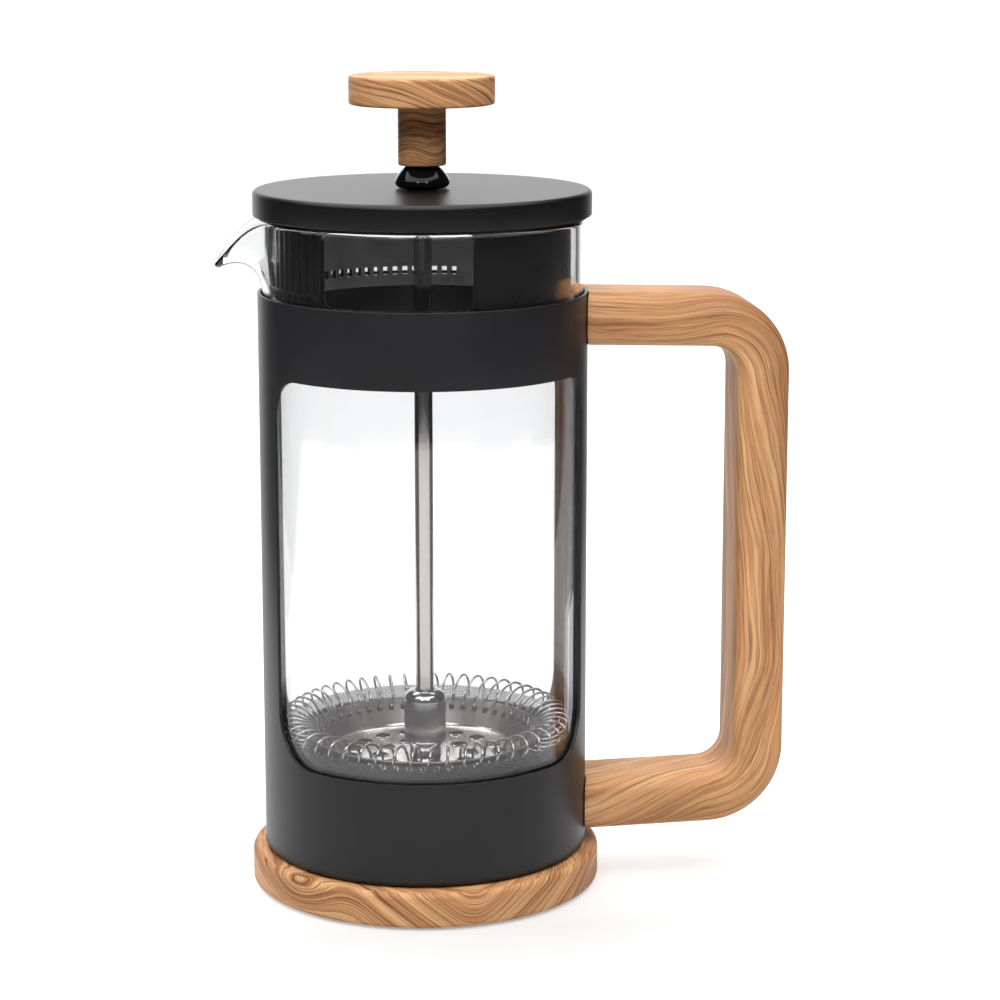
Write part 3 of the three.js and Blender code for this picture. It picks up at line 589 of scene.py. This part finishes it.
def rubber_pad():
    """The pad under the base, with shallow rings pressed into its face."""
    ring_width, depth, slope, edge = 2.4, 0.3, 0.2, 0.3
    profile = [(0, 0)]
    for circle in np.arange(6, PAD_RADIUS - 4, 2 * ring_width):
        end = circle + ring_width
        profile += [(circle, 0), (circle + slope, depth), (end - slope, depth), (end, 0)]
    profile += [*arc(PAD_RADIUS - edge, edge, edge, -90, 0, 3), (PAD_RADIUS, PAD_TOP), (0, PAD_TOP)]
    return finished(faired(turned("rubber_pad", profile)), RUBBER, "non_slip_pad")


# ---------- Holder ----------
def steel_sleeve():
    """The round wall with two windows and a narrow lip turned in at the bottom."""
    inner, bend, lip, turned_in = HOLDER_RADIUS - HOLDER_WALL, 1.4, 0.18, 38
    window_low, window_high, low_round, high_round = 36.3, 134.4, 14, 10
    half_angle, screw_hole, reach = math.radians(67.5), 2.3, 5
    profile = [
        (turned_in, HOLDER_BOTTOM),
        *arc(HOLDER_RADIUS - bend, HOLDER_BOTTOM + bend, bend, -90, 0, 8),
        (HOLDER_RADIUS, HOLDER_TOP - lip),
        *arc(HOLDER_RADIUS - lip, HOLDER_TOP - lip, lip, 30, 90, 2),
        *arc(inner + lip, HOLDER_TOP - lip, lip, 90, 180, 3),
        *arc(HOLDER_RADIUS - bend, HOLDER_BOTTOM + bend, bend - HOLDER_WALL, 0, -90, 4),
        (turned_in, HOLDER_BOTTOM + HOLDER_WALL),
    ]
    sleeve = turned("sleeve_steel", profile, ring=True)
    windows = []
    for middle in (0, math.pi):
        sides = (middle - half_angle, middle + half_angle)
        windows.append(window_cutter(HOLDER_RADIUS, window_low, window_high, *sides, low_round, high_round))
    sleeve = cut(sleeve, windows + arm_bores(screw_hole, HOLDER_RADIUS - reach, HOLDER_RADIUS + reach))
    return finished(faired(sleeve), SLEEVE_PAINT, "holder_sleeve")


# ---------- Handle ----------
HANDLE_WIDTH, HANDLE_THICKNESS, HANDLE_EDGE = 22, 13.4, 3.6
HANDLE_REACH = high("handle").x - HANDLE_THICKNESS / 2
ARM_HIGH, ARM_LOW, ARM_MIDDLE = 146.2, 20.2, 56
ARM_TILT = math.radians(1.5)
BEND_INSIDE = 6.8
BEND = BEND_INSIDE + HANDLE_THICKNESS / 2
BEND_X = HANDLE_REACH - BEND


def arm_height(x, upper):
    """Height of an arm's axis, which closes up slightly towards the grip."""
    fall = math.tan(ARM_TILT) * (x - ARM_MIDDLE)
    return ARM_HIGH - fall if upper else ARM_LOW + fall


BEND_HIGH = arm_height(BEND_X, True) - BEND / math.cos(ARM_TILT)
BEND_LOW = arm_height(BEND_X, False) + BEND / math.cos(ARM_TILT)
ARM_LENGTH = (BEND_X - HOLDER_RADIUS) / math.cos(ARM_TILT)
BEND_LENGTH = BEND * (math.pi / 2 - ARM_TILT)
GRIP_LENGTH = BEND_HIGH - BEND_LOW
BAR_LENGTH = 2 * (ARM_LENGTH + BEND_LENGTH) + GRIP_LENGTH


def arm_bores(radius, start, end, sides=24):
    """A cutting pin along X at the height of each arm."""
    heights = (ARM_HIGH, ARM_LOW)
    return [moved(pin(radius, start, end, sides), shift=(0, 0, z), tilt=SIDEWAYS) for z in heights]


def handle_section():
    """The bar's rounded section as (outwards, sideways) points."""
    corners = []
    for quarter, (out, side) in enumerate([(1, 1), (-1, 1), (-1, -1), (1, -1)]):
        out *= HANDLE_THICKNESS / 2 - HANDLE_EDGE
        side *= HANDLE_WIDTH / 2 - HANDLE_EDGE
        corners += arc(out, side, HANDLE_EDGE, 90 * quarter, 90 * quarter + 90, 8)
    return corners


def bow_place(along, out):
    """The (x, z) of a point of the bar, so far along its axis from the upper root and so far outwards."""
    corner = ARM_LENGTH + BEND_LENGTH
    upper = along <= BAR_LENGTH / 2
    step = along if upper else BAR_LENGTH - along
    if step < ARM_LENGTH:
        x = BEND_X - (ARM_LENGTH - step) * math.cos(ARM_TILT)
        x, z = x + out * math.sin(ARM_TILT), arm_height(x, True) + out * math.cos(ARM_TILT)
    elif step < corner:
        turn = ARM_TILT + (step - ARM_LENGTH) / BEND
        x, z = BEND_X + (BEND + out) * math.sin(turn), BEND_HIGH + (BEND + out) * math.cos(turn)
    else:
        x, z = HANDLE_REACH + out, BEND_HIGH - (step - corner)
    return (x, z) if upper else (x, ARM_HIGH + ARM_LOW - z)


def bow_grain(x, z):
    """For arrays of places, the millimetres along the bar's axis and outwards of it."""
    middle = (ARM_HIGH + ARM_LOW) / 2
    upper = z >= middle
    height = np.where(upper, z, 2 * middle - z)
    turn = np.clip(np.arctan2(x - BEND_X, height - BEND_HIGH), ARM_TILT, math.pi / 2)
    in_arm = x < BEND_X
    in_grip = (height < BEND_HIGH) & ~in_arm
    above_arm = height - ARM_HIGH + math.tan(ARM_TILT) * (x - ARM_MIDDLE)
    out = np.hypot(x - BEND_X, height - BEND_HIGH) - BEND
    out = np.where(in_arm, above_arm * math.cos(ARM_TILT), out)
    out = np.where(in_grip, x - HANDLE_REACH, out)
    step = ARM_LENGTH + BEND * (turn - ARM_TILT)
    step = np.where(in_arm, x - HOLDER_RADIUS, step)
    step = np.where(in_grip, ARM_LENGTH + BEND_LENGTH + BEND_HIGH - height, step)
    return np.where(upper, step, BAR_LENGTH - step), out


def wooden_handle():
    """The bar bent into a bow, with its two ends shaped to the round holder and bored for the inserts."""
    section = handle_section()
    root, root_clear, stations = HOLDER_RADIUS + GAP, 3.0, 220
    end_shares, bore, bore_end = (0.25, 0.6, 0.9, 1.0), 3.7, 57.3

    def end_ring(share, upper):
        """The section, shrunk to a share of itself, on the round face against the holder."""
        ring = []
        for out, side in section:
            x = math.sqrt(root**2 - (share * side) ** 2)
            rise = share * out / math.cos(ARM_TILT)
            ring.append((x, share * side, arm_height(x, upper) + (rise if upper else -rise)))
        return ring

    rings = [end_ring(share, True) for share in end_shares]
    for along in np.linspace(root_clear, BAR_LENGTH - root_clear, stations):
        places = [(bow_place(along, out), side) for out, side in section]
        rings.append([(x, side, z) for (x, z), side in places])
    rings += [end_ring(share, False) for share in reversed(end_shares)]
    first, last = [(root, 0, arm_height(root, upper)) for upper in (True, False)]
    vertices = [first, *[v for ring in rings for v in ring], last]
    count = len(section)
    rows = [[0], *[range(1 + i * count, 1 + (i + 1) * count) for i in range(len(rings))], [len(vertices) - 1]]
    handle = faired(new_object("handle_wood", vertices, join_rows(rows, False)))
    handle = cut(handle, arm_bores(bore, HOLDER_RADIUS - PAST, bore_end, 48))

    x, y, z = points_of(handle).T
    along, out = bow_grain(x, z)
    corner = ARM_LENGTH + BEND_LENGTH
    drift = grain_line(along, [
        (0, 0), (ARM_LENGTH - 12, -1), (corner, 7), (corner + 45, 19), (corner + 75, 21),
        (corner + GRIP_LENGTH, 12), (BAR_LENGTH - ARM_LENGTH, 11), (BAR_LENGTH, 30),
    ])
    half, round_start = HANDLE_WIDTH / 2, HANDLE_WIDTH / 2 - HANDLE_EDGE
    wrapped = out + np.sign(out) * (y + half)
    on_back = (y > round_start) & (out > HANDLE_EDGE - HANDLE_THICKNESS / 2)
    wrapped = np.where(on_back, HANDLE_THICKNESS - out + y + half, wrapped)
    keep_vector(handle, "grain", np.stack([along, 1.2 * wrapped - drift, 0.2 * y], 1))
    streak = bump_at(along, out, (corner - 10, 6), (24, 4), 0.8)
    streak += bump_at(along, out, (corner + 30, 6.5), (26, 3.5), 0.5)
    streak += bump_at(along, out, (BAR_LENGTH - ARM_LENGTH + 8, 3), (16, 4), 0.55)
    keep_number(handle, "tone_and_shade", np.clip(streak, 0, 1))
    return finished(faired(handle), HANDLE_WOOD, "handle")


# ---------- Beaker ----------
def glass_jug():
    """The beaker, with a rounded rim and a spout drawn out of its wall."""
    wall, floor_thickness, corner, inner_corner = 1.85, 2.0, 4.5, 3.25
    inner, bead, floor = GLASS_RADIUS - wall, wall / 2, GLASS_BOTTOM + floor_thickness
    spout_start, spout_half_angle, spout_rows = 153.5, math.radians(18), 32
    reach, reach_sideways, reach_upwards = 11.2, 1.5, 1.75
    fall, fall_sideways, fall_upwards = 12.3, 3, 2.3
    heights = np.linspace(spout_start, GLASS_TOP - bead, spout_rows + 1)[:-1]

    def face(angle, height):
        """The outer face at an angle from -X and at a height it had before the spout was drawn out of it."""
        away = min(abs(angle) / spout_half_angle, 1)
        rise = max(height - spout_start, 0) / (GLASS_TOP - spout_start)
        swell = math.cos(math.pi / 2 * away)
        radius = GLASS_RADIUS + reach * swell**reach_sideways * rise**reach_upwards
        drop = fall * swell**fall_sideways * rise**fall_upwards
        return Vector((-radius * math.cos(angle), -radius * math.sin(angle), height - drop))

    def spout(x, y, z):
        """Draws the spout out of the wall, which keeps its thickness."""
        angle, step = math.atan2(-y, -x), 0.001
        if z <= spout_start or abs(angle) >= spout_half_angle:
            return x, y, z
        across = face(angle + step, z) - face(angle - step, z)
        upward = face(angle, z + step) - face(angle, z - step)
        return face(angle, z) + (GLASS_RADIUS - math.hypot(x, y)) * upward.cross(across).normalized()

    profile = [
        (0, GLASS_BOTTOM),
        *arc(GLASS_RADIUS - corner, GLASS_BOTTOM + corner, corner, -90, 0, 12),
        *[(GLASS_RADIUS, height) for height in heights],
        *arc(GLASS_RADIUS - bead, GLASS_TOP - bead, bead, 0, 180, 12),
        *[(inner, height) for height in reversed(heights)],
        *arc(inner - inner_corner, floor + inner_corner, inner_corner, 0, -90, 10),
        (0, floor),
    ]
    jug = turned("beaker_glass", profile, stretch=spout)
    return finished(faired(jug, 60), GLASS, "glass_beaker")


# ---------- Lid ----------
def lid():
    inner, hole, bend, edge, inner_edge = LID_RADIUS - LID_SHEET, 4.3, 1.2, 0.2, 0.1
    profile = [
        (inner + inner_edge, LID_BOTTOM),
        *arc(LID_RADIUS - edge, LID_BOTTOM + edge, edge, -90, 0, 3),
        *arc(LID_RADIUS - bend, LID_TOP - bend, bend, 0, 90, 10),
        *[(radius, LID_TOP) for radius in (38, 30, 20, 10)],
        (hole, LID_TOP),
        (hole, LID_TOP - LID_SHEET),
        *arc(LID_RADIUS - bend, LID_TOP - bend, bend - LID_SHEET, 90, 0, 5),
        (inner, LID_BOTTOM + inner_edge),
    ]
    cap = turned("lid_cap_steel", profile, ring=True)
    return finished(faired(cap), LID_PAINT, "lid_cap")


def strainer():
    """The collar: a comb of ribs over a row of slots on the spout's side, and a pour window on the other."""
    radius, wall, lip, lip_top, lip_edge = 37.2, 1.6, 38.1, 152.2, 0.3
    bottom, top = low("strainer_collar").z, high("strainer_collar").z
    inner, inner_edge, lip_slope = radius - wall, 0.2, 0.5
    seat, flange, flange_radius = GLASS_TOP + GAP, 1.2, LID_RADIUS - LID_SHEET - GAP
    pitch, count, first = math.radians(4.2), 37, math.radians(-139.5)
    rib_width, rib_depth, rib_low, rib_high = 1.1, 0.9, 156, 170.6
    slot_width, slot_depth, slot_low, slot_high = 1.45, 3 * wall, 153, 155.1
    pour_start, pour_end, pour_round = math.radians(-46), math.radians(14.5), 2
    profile = [
        (inner, bottom + inner_edge),
        (inner + inner_edge, bottom),
        *arc(lip - lip_edge, bottom + lip_edge, lip_edge, -90, 0, 3),
        (lip, lip_top),
        (radius, lip_top + lip_slope),
        (radius, seat),
        (flange_radius, seat),
        (flange_radius, seat + flange),
        (radius, seat + flange),
        (radius, top),
        (inner, top),
    ]
    collar = turned("strainer_collar_plastic", profile, ring=True)
    ribs = [block(rib_width, rib_depth, rib_low, rib_high, radius, first - pitch * i) for i in range(count)]
    openings = [window_cutter(radius, slot_low, rib_high, pour_start, pour_end, pour_round, pour_round)]
    for i in range(count - 1):
        angle = first - pitch * (i + 0.5)
        openings.append(block(slot_width, slot_depth, slot_low, slot_high, radius - wall / 2, angle))
    collar = cut(combined(collar, merged("ribs", ribs), "UNION"), openings)
    return finished(faired(collar), collar_plastic(inner), "strainer_collar")


def bush():
    """The domed bush that guides the rod through the lid, on a tube that goes down through it."""
    tube_radius, foot, foot_edge, bulge_round, neck, neck_round = 4.0, LID_TOP + GAP, 0.9, 1.5, 4.5, 0.5
    dome_slope, dome_power, dome_rows = 0.37, 1.45, 12
    bulge, neck_foot = foot + 1.4, BUSH_TOP - neck_round
    rises = np.linspace(0.2, neck_foot - bulge, dome_rows)
    profile = [
        (ROD_BORE, BUSH_TUBE_BOTTOM),
        (tube_radius, BUSH_TUBE_BOTTOM),
        (tube_radius, foot),
        (BUSH_BULGE - foot_edge, foot),
        *arc(BUSH_BULGE - bulge_round, bulge, bulge_round, -55, 0, 8),
        *[(BUSH_BULGE - dome_slope * rise**dome_power, bulge + rise) for rise in rises],
        *arc(neck - neck_round, neck_foot, neck_round, 40, 90, 5),
        (ROD_BORE, BUSH_TOP),
    ]
    made = turned("guide_bush_gloss", profile, SMALL_SIDES, ring=True)
    return finished(faired(made, 50), GLOSS_BLACK, "guide_bush")


# ---------- Plunger ----------
def wooden_knob():
    """The disc and its stem, turned in one piece and bored for the insert."""
    stem, disc_low, edge, stem_edge, fillet = 6.0, 199.9, 0.7, 0.5, 0.4
    bore, bore_top = ROD_BORE + 1.5, ROD_TOP + 1
    profile = [
        (0, bore_top),
        (bore, bore_top),
        (bore, STEM_BOTTOM),
        *arc(stem - stem_edge, STEM_BOTTOM + stem_edge, stem_edge, -90, 0, 5),
        *[(stem, height) for height in np.linspace(STEM_BOTTOM + 2, disc_low - fillet, 8)],
        *arc(stem + fillet, disc_low - fillet, fillet, 180, 90, 4),
        *[(radius, disc_low) for radius in (9, 12, 15)],
        *arc(KNOB_RADIUS - edge, disc_low + edge, edge, -90, 0, 7),
        *[(KNOB_RADIUS, height) for height in np.linspace(disc_low + 2, KNOB_TOP - 2, 3)],
        *arc(KNOB_RADIUS - edge, KNOB_TOP - edge, edge, 0, 90, 7),
        *[(radius, KNOB_TOP) for radius in (16, 14, 11, 8, 5, 2.5, 0)],
    ]
    knob = turned("knob_wood", profile)
    x, y, z = points_of(knob).T
    radius = np.hypot(x, y)
    angle = round_rim(x, y)
    along = KNOB_RADIUS * angle
    depth = 0.2 * radius + 1.5 * np.maximum(y, 0)
    rim_drift = grain_line(along, [(-29, 3), (-20, 3), (-6, 0), (18, -10), (29, -14)])
    rim = np.stack([along, z - disc_low - rim_drift, depth], 1)
    face = np.stack([x, 0.35 * y + 30, z], 1)
    stock = np.stack([2 * angle * stem, 1.3 * z + 0.8 * np.sin(3 * angle), depth], 1)
    on_stem = (radius < stem + 0.5) & (z < disc_low)
    on_face = (z > KNOB_TOP - 0.5 * edge) & (radius < KNOB_RADIUS - 0.4)
    keep_vector(knob, "grain", np.where(on_stem[:, None], stock, np.where(on_face[:, None], face, rim)))
    reddish = np.where(on_face, 0.0, 0.35 * np.clip(-x / KNOB_RADIUS, 0, 1))
    # Painted shade: the stem, which the disc above shades, is darkened a little.
    keep_number(knob, "tone_and_shade", np.where(on_stem, 0.1, reddish))
    return finished(faired(knob), KNOB_WOOD, "knob")


def rod():
    edge = 0.4
    profile = [
        (0, ROD_BOTTOM),
        *arc(ROD_RADIUS - edge, ROD_BOTTOM + edge, edge, -90, 0, 3),
        *[(ROD_RADIUS, height) for height in np.linspace(ROD_BOTTOM + 1, ROD_TOP - 1, 12)],
        *arc(ROD_RADIUS - edge, ROD_TOP - edge, edge, 0, 90, 3),
        (0, ROD_TOP),
    ]
    made = turned("plunger_rod_steel", profile, SMALL_SIDES)
    return finished(faired(made), ROD_STEEL, "plunger_rod")


def hub():
    """The turned nut on the rod, with a round shoulder, a waist and a flared foot."""
    foot, foot_edge, waist, belly, belly_height, shoulder = 4.0, 0.2, 3.9, 1.6, 4.4, 2.8
    profile = [
        (ROD_BORE, HUB_BOTTOM),
        (foot + foot_edge, HUB_BOTTOM),
        (foot, HUB_BOTTOM + 0.7),
        (waist, HUB_BOTTOM + 1.4),
        (waist + 0.2, HUB_BOTTOM + 2.1),
        *arc(HUB_RADIUS - belly, HUB_BOTTOM + belly_height, belly, -50, 0, 6),
        *arc(HUB_RADIUS - shoulder, HUB_TOP - shoulder, shoulder, 0, 82, 14),
        (ROD_BORE, HUB_TOP),
    ]
    made = turned("hub_nut_steel", profile, SMALL_SIDES, ring=True)
    return finished(faired(made, 50), TURNED_STEEL, "hub_nut")


# ---------- Filter ----------
PLATE_SHEET, PLATE_FLOOR, PLATE_FLOOR_RADIUS = 0.6, 32.4, 26.3
TURNS = 54
WIRE = 0.33
LOOP_CENTRE, LOOP_LONG, LOOP_SHORT, LOOP_TILT = (32.9, 40.4), 5.2, 3.3, math.radians(30)
LOOP_THROUGH_WALL = math.radians(197)


def loop_point(turn):
    """Radius and height of the wire at an angle round one loop."""
    along, across = LOOP_LONG * np.cos(turn), LOOP_SHORT * np.sin(turn)
    radius = LOOP_CENTRE[0] + along * math.cos(LOOP_TILT) - across * math.sin(LOOP_TILT)
    return radius, LOOP_CENTRE[1] + along * math.sin(LOOP_TILT) + across * math.cos(LOOP_TILT)


def coil():
    """The spring: one wire wound in loops through the small holes round the plate's wall."""
    steps = 30
    turn = 2 * math.pi * np.arange(TURNS * steps) / steps
    radius, height = loop_point(turn)
    angle = turn / TURNS
    path = np.stack([radius * np.cos(angle), radius * np.sin(angle), height], 1)
    made = tube("spring_wire", path, WIRE)
    return finished(faired(made, 80), WIRE_STEEL, "coil_spring")


def plate():
    """The dished plate: holes with raised rims in its floor, and one small hole in its wall for each loop."""
    under, bend, bead, bead_inside = PLATE_FLOOR - PLATE_SHEET, 1.0, 0.35, 0.55
    hole, rim, hole_sides = 2.0, 0.28, 32
    eye, eye_reach = 0.85, 1.4
    profile = [
        (ROD_BORE, under),
        *arc(PLATE_FLOOR_RADIUS - 0.6, under + bend, bend, -90, -30, 4),
        (PLATE_RADIUS - bead_inside, PLATE_RIM - 0.9),
        *arc(PLATE_RADIUS - bead, PLATE_RIM - bead, bead, -30, 150, 6),
        *arc(PLATE_FLOOR_RADIUS - 1.4, PLATE_FLOOR + bend, bend, -30, -90, 4),
        (ROD_BORE, PLATE_FLOOR),
    ]
    dish = turned("spring_plate_steel", profile, 216, ring=True)
    circles = [(18, 19.5), (10, 11.8)]

    def raised_rim():
        return turned("rim", arc(hole + 0.1, PLATE_FLOOR, rim, 0, 324, 9), hole_sides, ring=True)

    def bore():
        return pin(hole, under - PAST, PLATE_FLOOR + PAST, hole_sides)

    rims = [piece for count, circle in circles for piece in ring_of(count, circle, raised_rim)]
    holes = [piece for count, circle in circles for piece in ring_of(count, circle, bore)]
    radius, height = loop_point(LOOP_THROUGH_WALL)
    for i in range(TURNS):
        turn = (LOOP_THROUGH_WALL + 2 * math.pi * i) / TURNS
        holes.append(moved(pin(eye, -eye_reach, eye_reach, 16), turn, (radius, 0, height), SIDEWAYS))
    dish = cut(combined(dish, merged("rims", rims), "UNION"), holes)
    return finished(faired(dish), PLATE_STEEL, "spring_plate")


def screen():
    """Woven steel cloth under the plate, folded up outside the spring."""
    sheet, fold, fold_height, edge = 0.35, 4.2, 5.6, 0.1
    flat_rings = (10, 18, 24)
    profile = [
        (ROD_BORE, MESH_BOTTOM),
        *[(radius, MESH_BOTTOM) for radius in flat_rings],
        *arc(MESH_RADIUS - fold, MESH_BOTTOM + fold_height, fold, -60, 0, 8),
        (MESH_RADIUS, MESH_RIM - edge),
        (MESH_RADIUS - edge, MESH_RIM),
        (MESH_RADIUS - sheet, MESH_RIM),
        *arc(MESH_RADIUS - fold, MESH_BOTTOM + fold_height, fold - sheet, 0, -60, 8),
        *[(radius, MESH_BOTTOM + sheet) for radius in reversed(flat_rings)],
        (ROD_BORE, MESH_BOTTOM + sheet),
    ]
    cloth = turned("mesh_cloth", profile, ring=True)
    x, y, z = points_of(cloth).T
    folded = np.hypot(x, y) > PLATE_FLOOR_RADIUS
    wall = np.stack([MESH_RADIUS * np.arctan2(x, -y), z, z], 1)
    keep_vector(cloth, "weave", np.where(folded[:, None], wall, np.stack([x, y, z], 1)))
    return finished(faired(cloth, 60), CLOTH_STEEL, "mesh_screen")


def cross():
    """The plate that clamps the stack from below."""
    boss, boss_edge, neck, sheet, edge = 5.0, 0.4, 0.3, 0.8, 0.25
    hole, hole_circle, hole_count = 4.6, 18.5, 8
    under = CROSS_TOP - sheet
    profile = [
        (ROD_BORE, CROSS_BOTTOM),
        *arc(boss - boss_edge, CROSS_BOTTOM + boss_edge, boss_edge, -90, 0, 4),
        (boss, under - neck),
        (boss + neck, under),
        *arc(CROSS_RADIUS - edge, under + edge, edge, -90, 90, 6),
        (CROSS_RADIUS - 0.3, CROSS_TOP),
        (ROD_BORE, CROSS_TOP),
    ]
    disc = turned("cross_plate_steel", profile, ring=True)
    disc = cut(disc, ring_of(hole_count, hole_circle, lambda: pin(hole, under - PAST, CROSS_TOP + PAST, 48)))
    return finished(faired(disc), STEEL, "cross_plate")


wooden_base()
rubber_pad()
steel_sleeve()
wooden_handle()
glass_jug()
lid()
strainer()
bush()
wooden_knob()
rod()
hub()
coil()
plate()
screen()
cross()


# ---------- CAD pieces that stay, in better materials ----------
def repaint(node, material):
    """Gives a CAD piece that stays another material and fine bevels."""
    piece = frame["nodes"][node]
    piece.data.materials.clear()
    piece.data.materials.append(material)
    edges = piece.modifiers.new("edges", "BEVEL")
    edges.width = EDGE_BEVEL * MM
    edges.segments = 2
    edges.limit_method = "ANGLE"


for number in (1, 2, 3):
    repaint(f"base_screw_{number}", ZINC)
for end in ("upper", "lower"):
    repaint(f"handle_screw_{end}", ZINC)
    repaint(f"handle_insert_{end}", BRASS)
repaint("knob_insert", BRASS)
repaint("guide_nut", ZINC)
repaint("holder_floor", ZINC)
repaint("glass_cushion", RUBBER)


# ---------- Camera ----------
CAMERA_YAW, CAMERA_PITCH = math.radians(-6.7), math.radians(-11.74)
CAMERA_ASIDE, CAMERA_AWAY, CAMERA_HEIGHT, CAMERA_LENS = 19.4, 733.3, 251.9, 105.7
camera = bpy.data.objects.new("camera", bpy.data.cameras.new("camera"))
bpy.context.scene.collection.objects.link(camera)
camera.data.lens = CAMERA_LENS
place = Vector((CAMERA_ASIDE, -CAMERA_AWAY, CAMERA_HEIGHT)) * MM
camera.location = Matrix.Rotation(CAMERA_YAW, 3, "Z") @ place
camera.rotation_euler = Euler((math.pi / 2 + CAMERA_PITCH, 0, CAMERA_YAW))
camera.data.clip_start, camera.data.clip_end = 0.05, 60
bpy.context.scene.camera = camera


# ---------- Floor, world and lights ----------
def pale_floor():
    """A white table, round in front, with a runner behind. It glows more behind the press and away from it.
    Past its edge the world is as white to the camera."""
    radius, wing, runner, far, thickness = 620, 130, 260, 1150, 2
    look = Look("pale_floor", Base_Color=(0.42, 0.42, 0.42, 1), Roughness=0.6, Specular_IOR_Level=0.2)
    look.set("Emission Color", (1, 1, 1, 1))
    behind = look.node("ShaderNodeSeparateXYZ", {0: look.place()}).outputs["Y"]
    glow_behind = look.between(behind, (-45.0, 15.0), (0.3, 0.72))
    glow_away = look.between(look.length(look.place()), (110.0, 260.0), (0.3, 0.62))
    look.set("Emission Strength", look.math("MAXIMUM", glow_behind, glow_away))
    front = [(radius * math.cos(a), radius * math.sin(a)) for a in np.linspace(math.pi, 2 * math.pi, 65)]
    back = [(radius, wing), (runner, wing), (runner, far), (-runner, far), (-runner, wing), (-radius, wing)]
    outline = front + back
    count = len(outline)
    under, upper = range(count), range(count, 2 * count)
    faces = [tuple(under)[::-1], tuple(upper), *join_rows([under, upper], False)]
    floor = new_object("floor", [(*p, z) for z in (-thickness, 0) for p in outline], faces)
    floor.data.materials.append(look.material)


def softbox(name, place, size, brightness, aim=(0, 0, 0.09)):
    """A square lamp aimed at a point. brightness is the radiance it is seen with. Lengths in metres."""
    lamp = bpy.data.lights.new(name, "AREA")
    lamp.shape = "RECTANGLE"
    lamp.size, lamp.size_y = size
    lamp.energy = brightness * math.pi * size[0] * size[1]
    holder = bpy.data.objects.new(name, lamp)
    holder.location = place
    holder.rotation_euler = (Vector(aim) - Vector(place)).to_track_quat("-Z", "Y").to_euler()
    bpy.context.scene.collection.objects.link(holder)


def studio_world():
    """White to the camera, straight or through glass. Reflections and the light that falls on the press come
    from a dark room with a white wall behind the press and a dim floor."""
    white, dim, wall, floor_glow = 1.1, 0.03, 2.0, 0.06
    world = bpy.data.worlds.new("studio")
    bpy.context.scene.world = world
    world.use_nodes = True
    sky = Shading(world.node_tree)
    toward = sky.node("ShaderNodeTexCoord").outputs["Generated"]
    toward = sky.node("ShaderNodeSeparateXYZ", {0: toward}).outputs
    back = sky.between(toward["Y"], (0.78, 0.99), (dim, wall), interpolation_type="SMOOTHSTEP")
    down = sky.between(toward["Z"], (-0.15, 0.0), (floor_glow, 0.0), interpolation_type="SMOOTHSTEP")
    path = sky.node("ShaderNodeLightPath").outputs
    bounces = sky.math("ADD", path["Glossy Depth"], path["Diffuse Depth"])
    straight = sky.math("MULTIPLY", path["Is Transmission Ray"], sky.math("LESS_THAN", bounces, 0.5))
    seen = sky.math("MAXIMUM", path["Is Camera Ray"], straight)
    strength = sky.node("ShaderNodeMix", {"Factor": seen, "A": sky.math("ADD", back, down), "B": white})
    background = world.node_tree.nodes["Background"]
    sky.feed(background.inputs["Color"], (1, 1, 1, 1))
    sky.feed(background.inputs["Strength"], strength.outputs["Result"])


pale_floor()
studio_world()
softbox("top_light", (-0.1, -0.12, 1.2), (2.2, 2.2), 3.5)
softbox("left_light", (-0.35, -0.75, 0.68), (0.14, 0.2), 14.0)
softbox("right_light", (0.21, -0.79, 0.68), (0.14, 0.2), 14.0)
bpy.context.scene.view_settings.view_transform = "Standard"
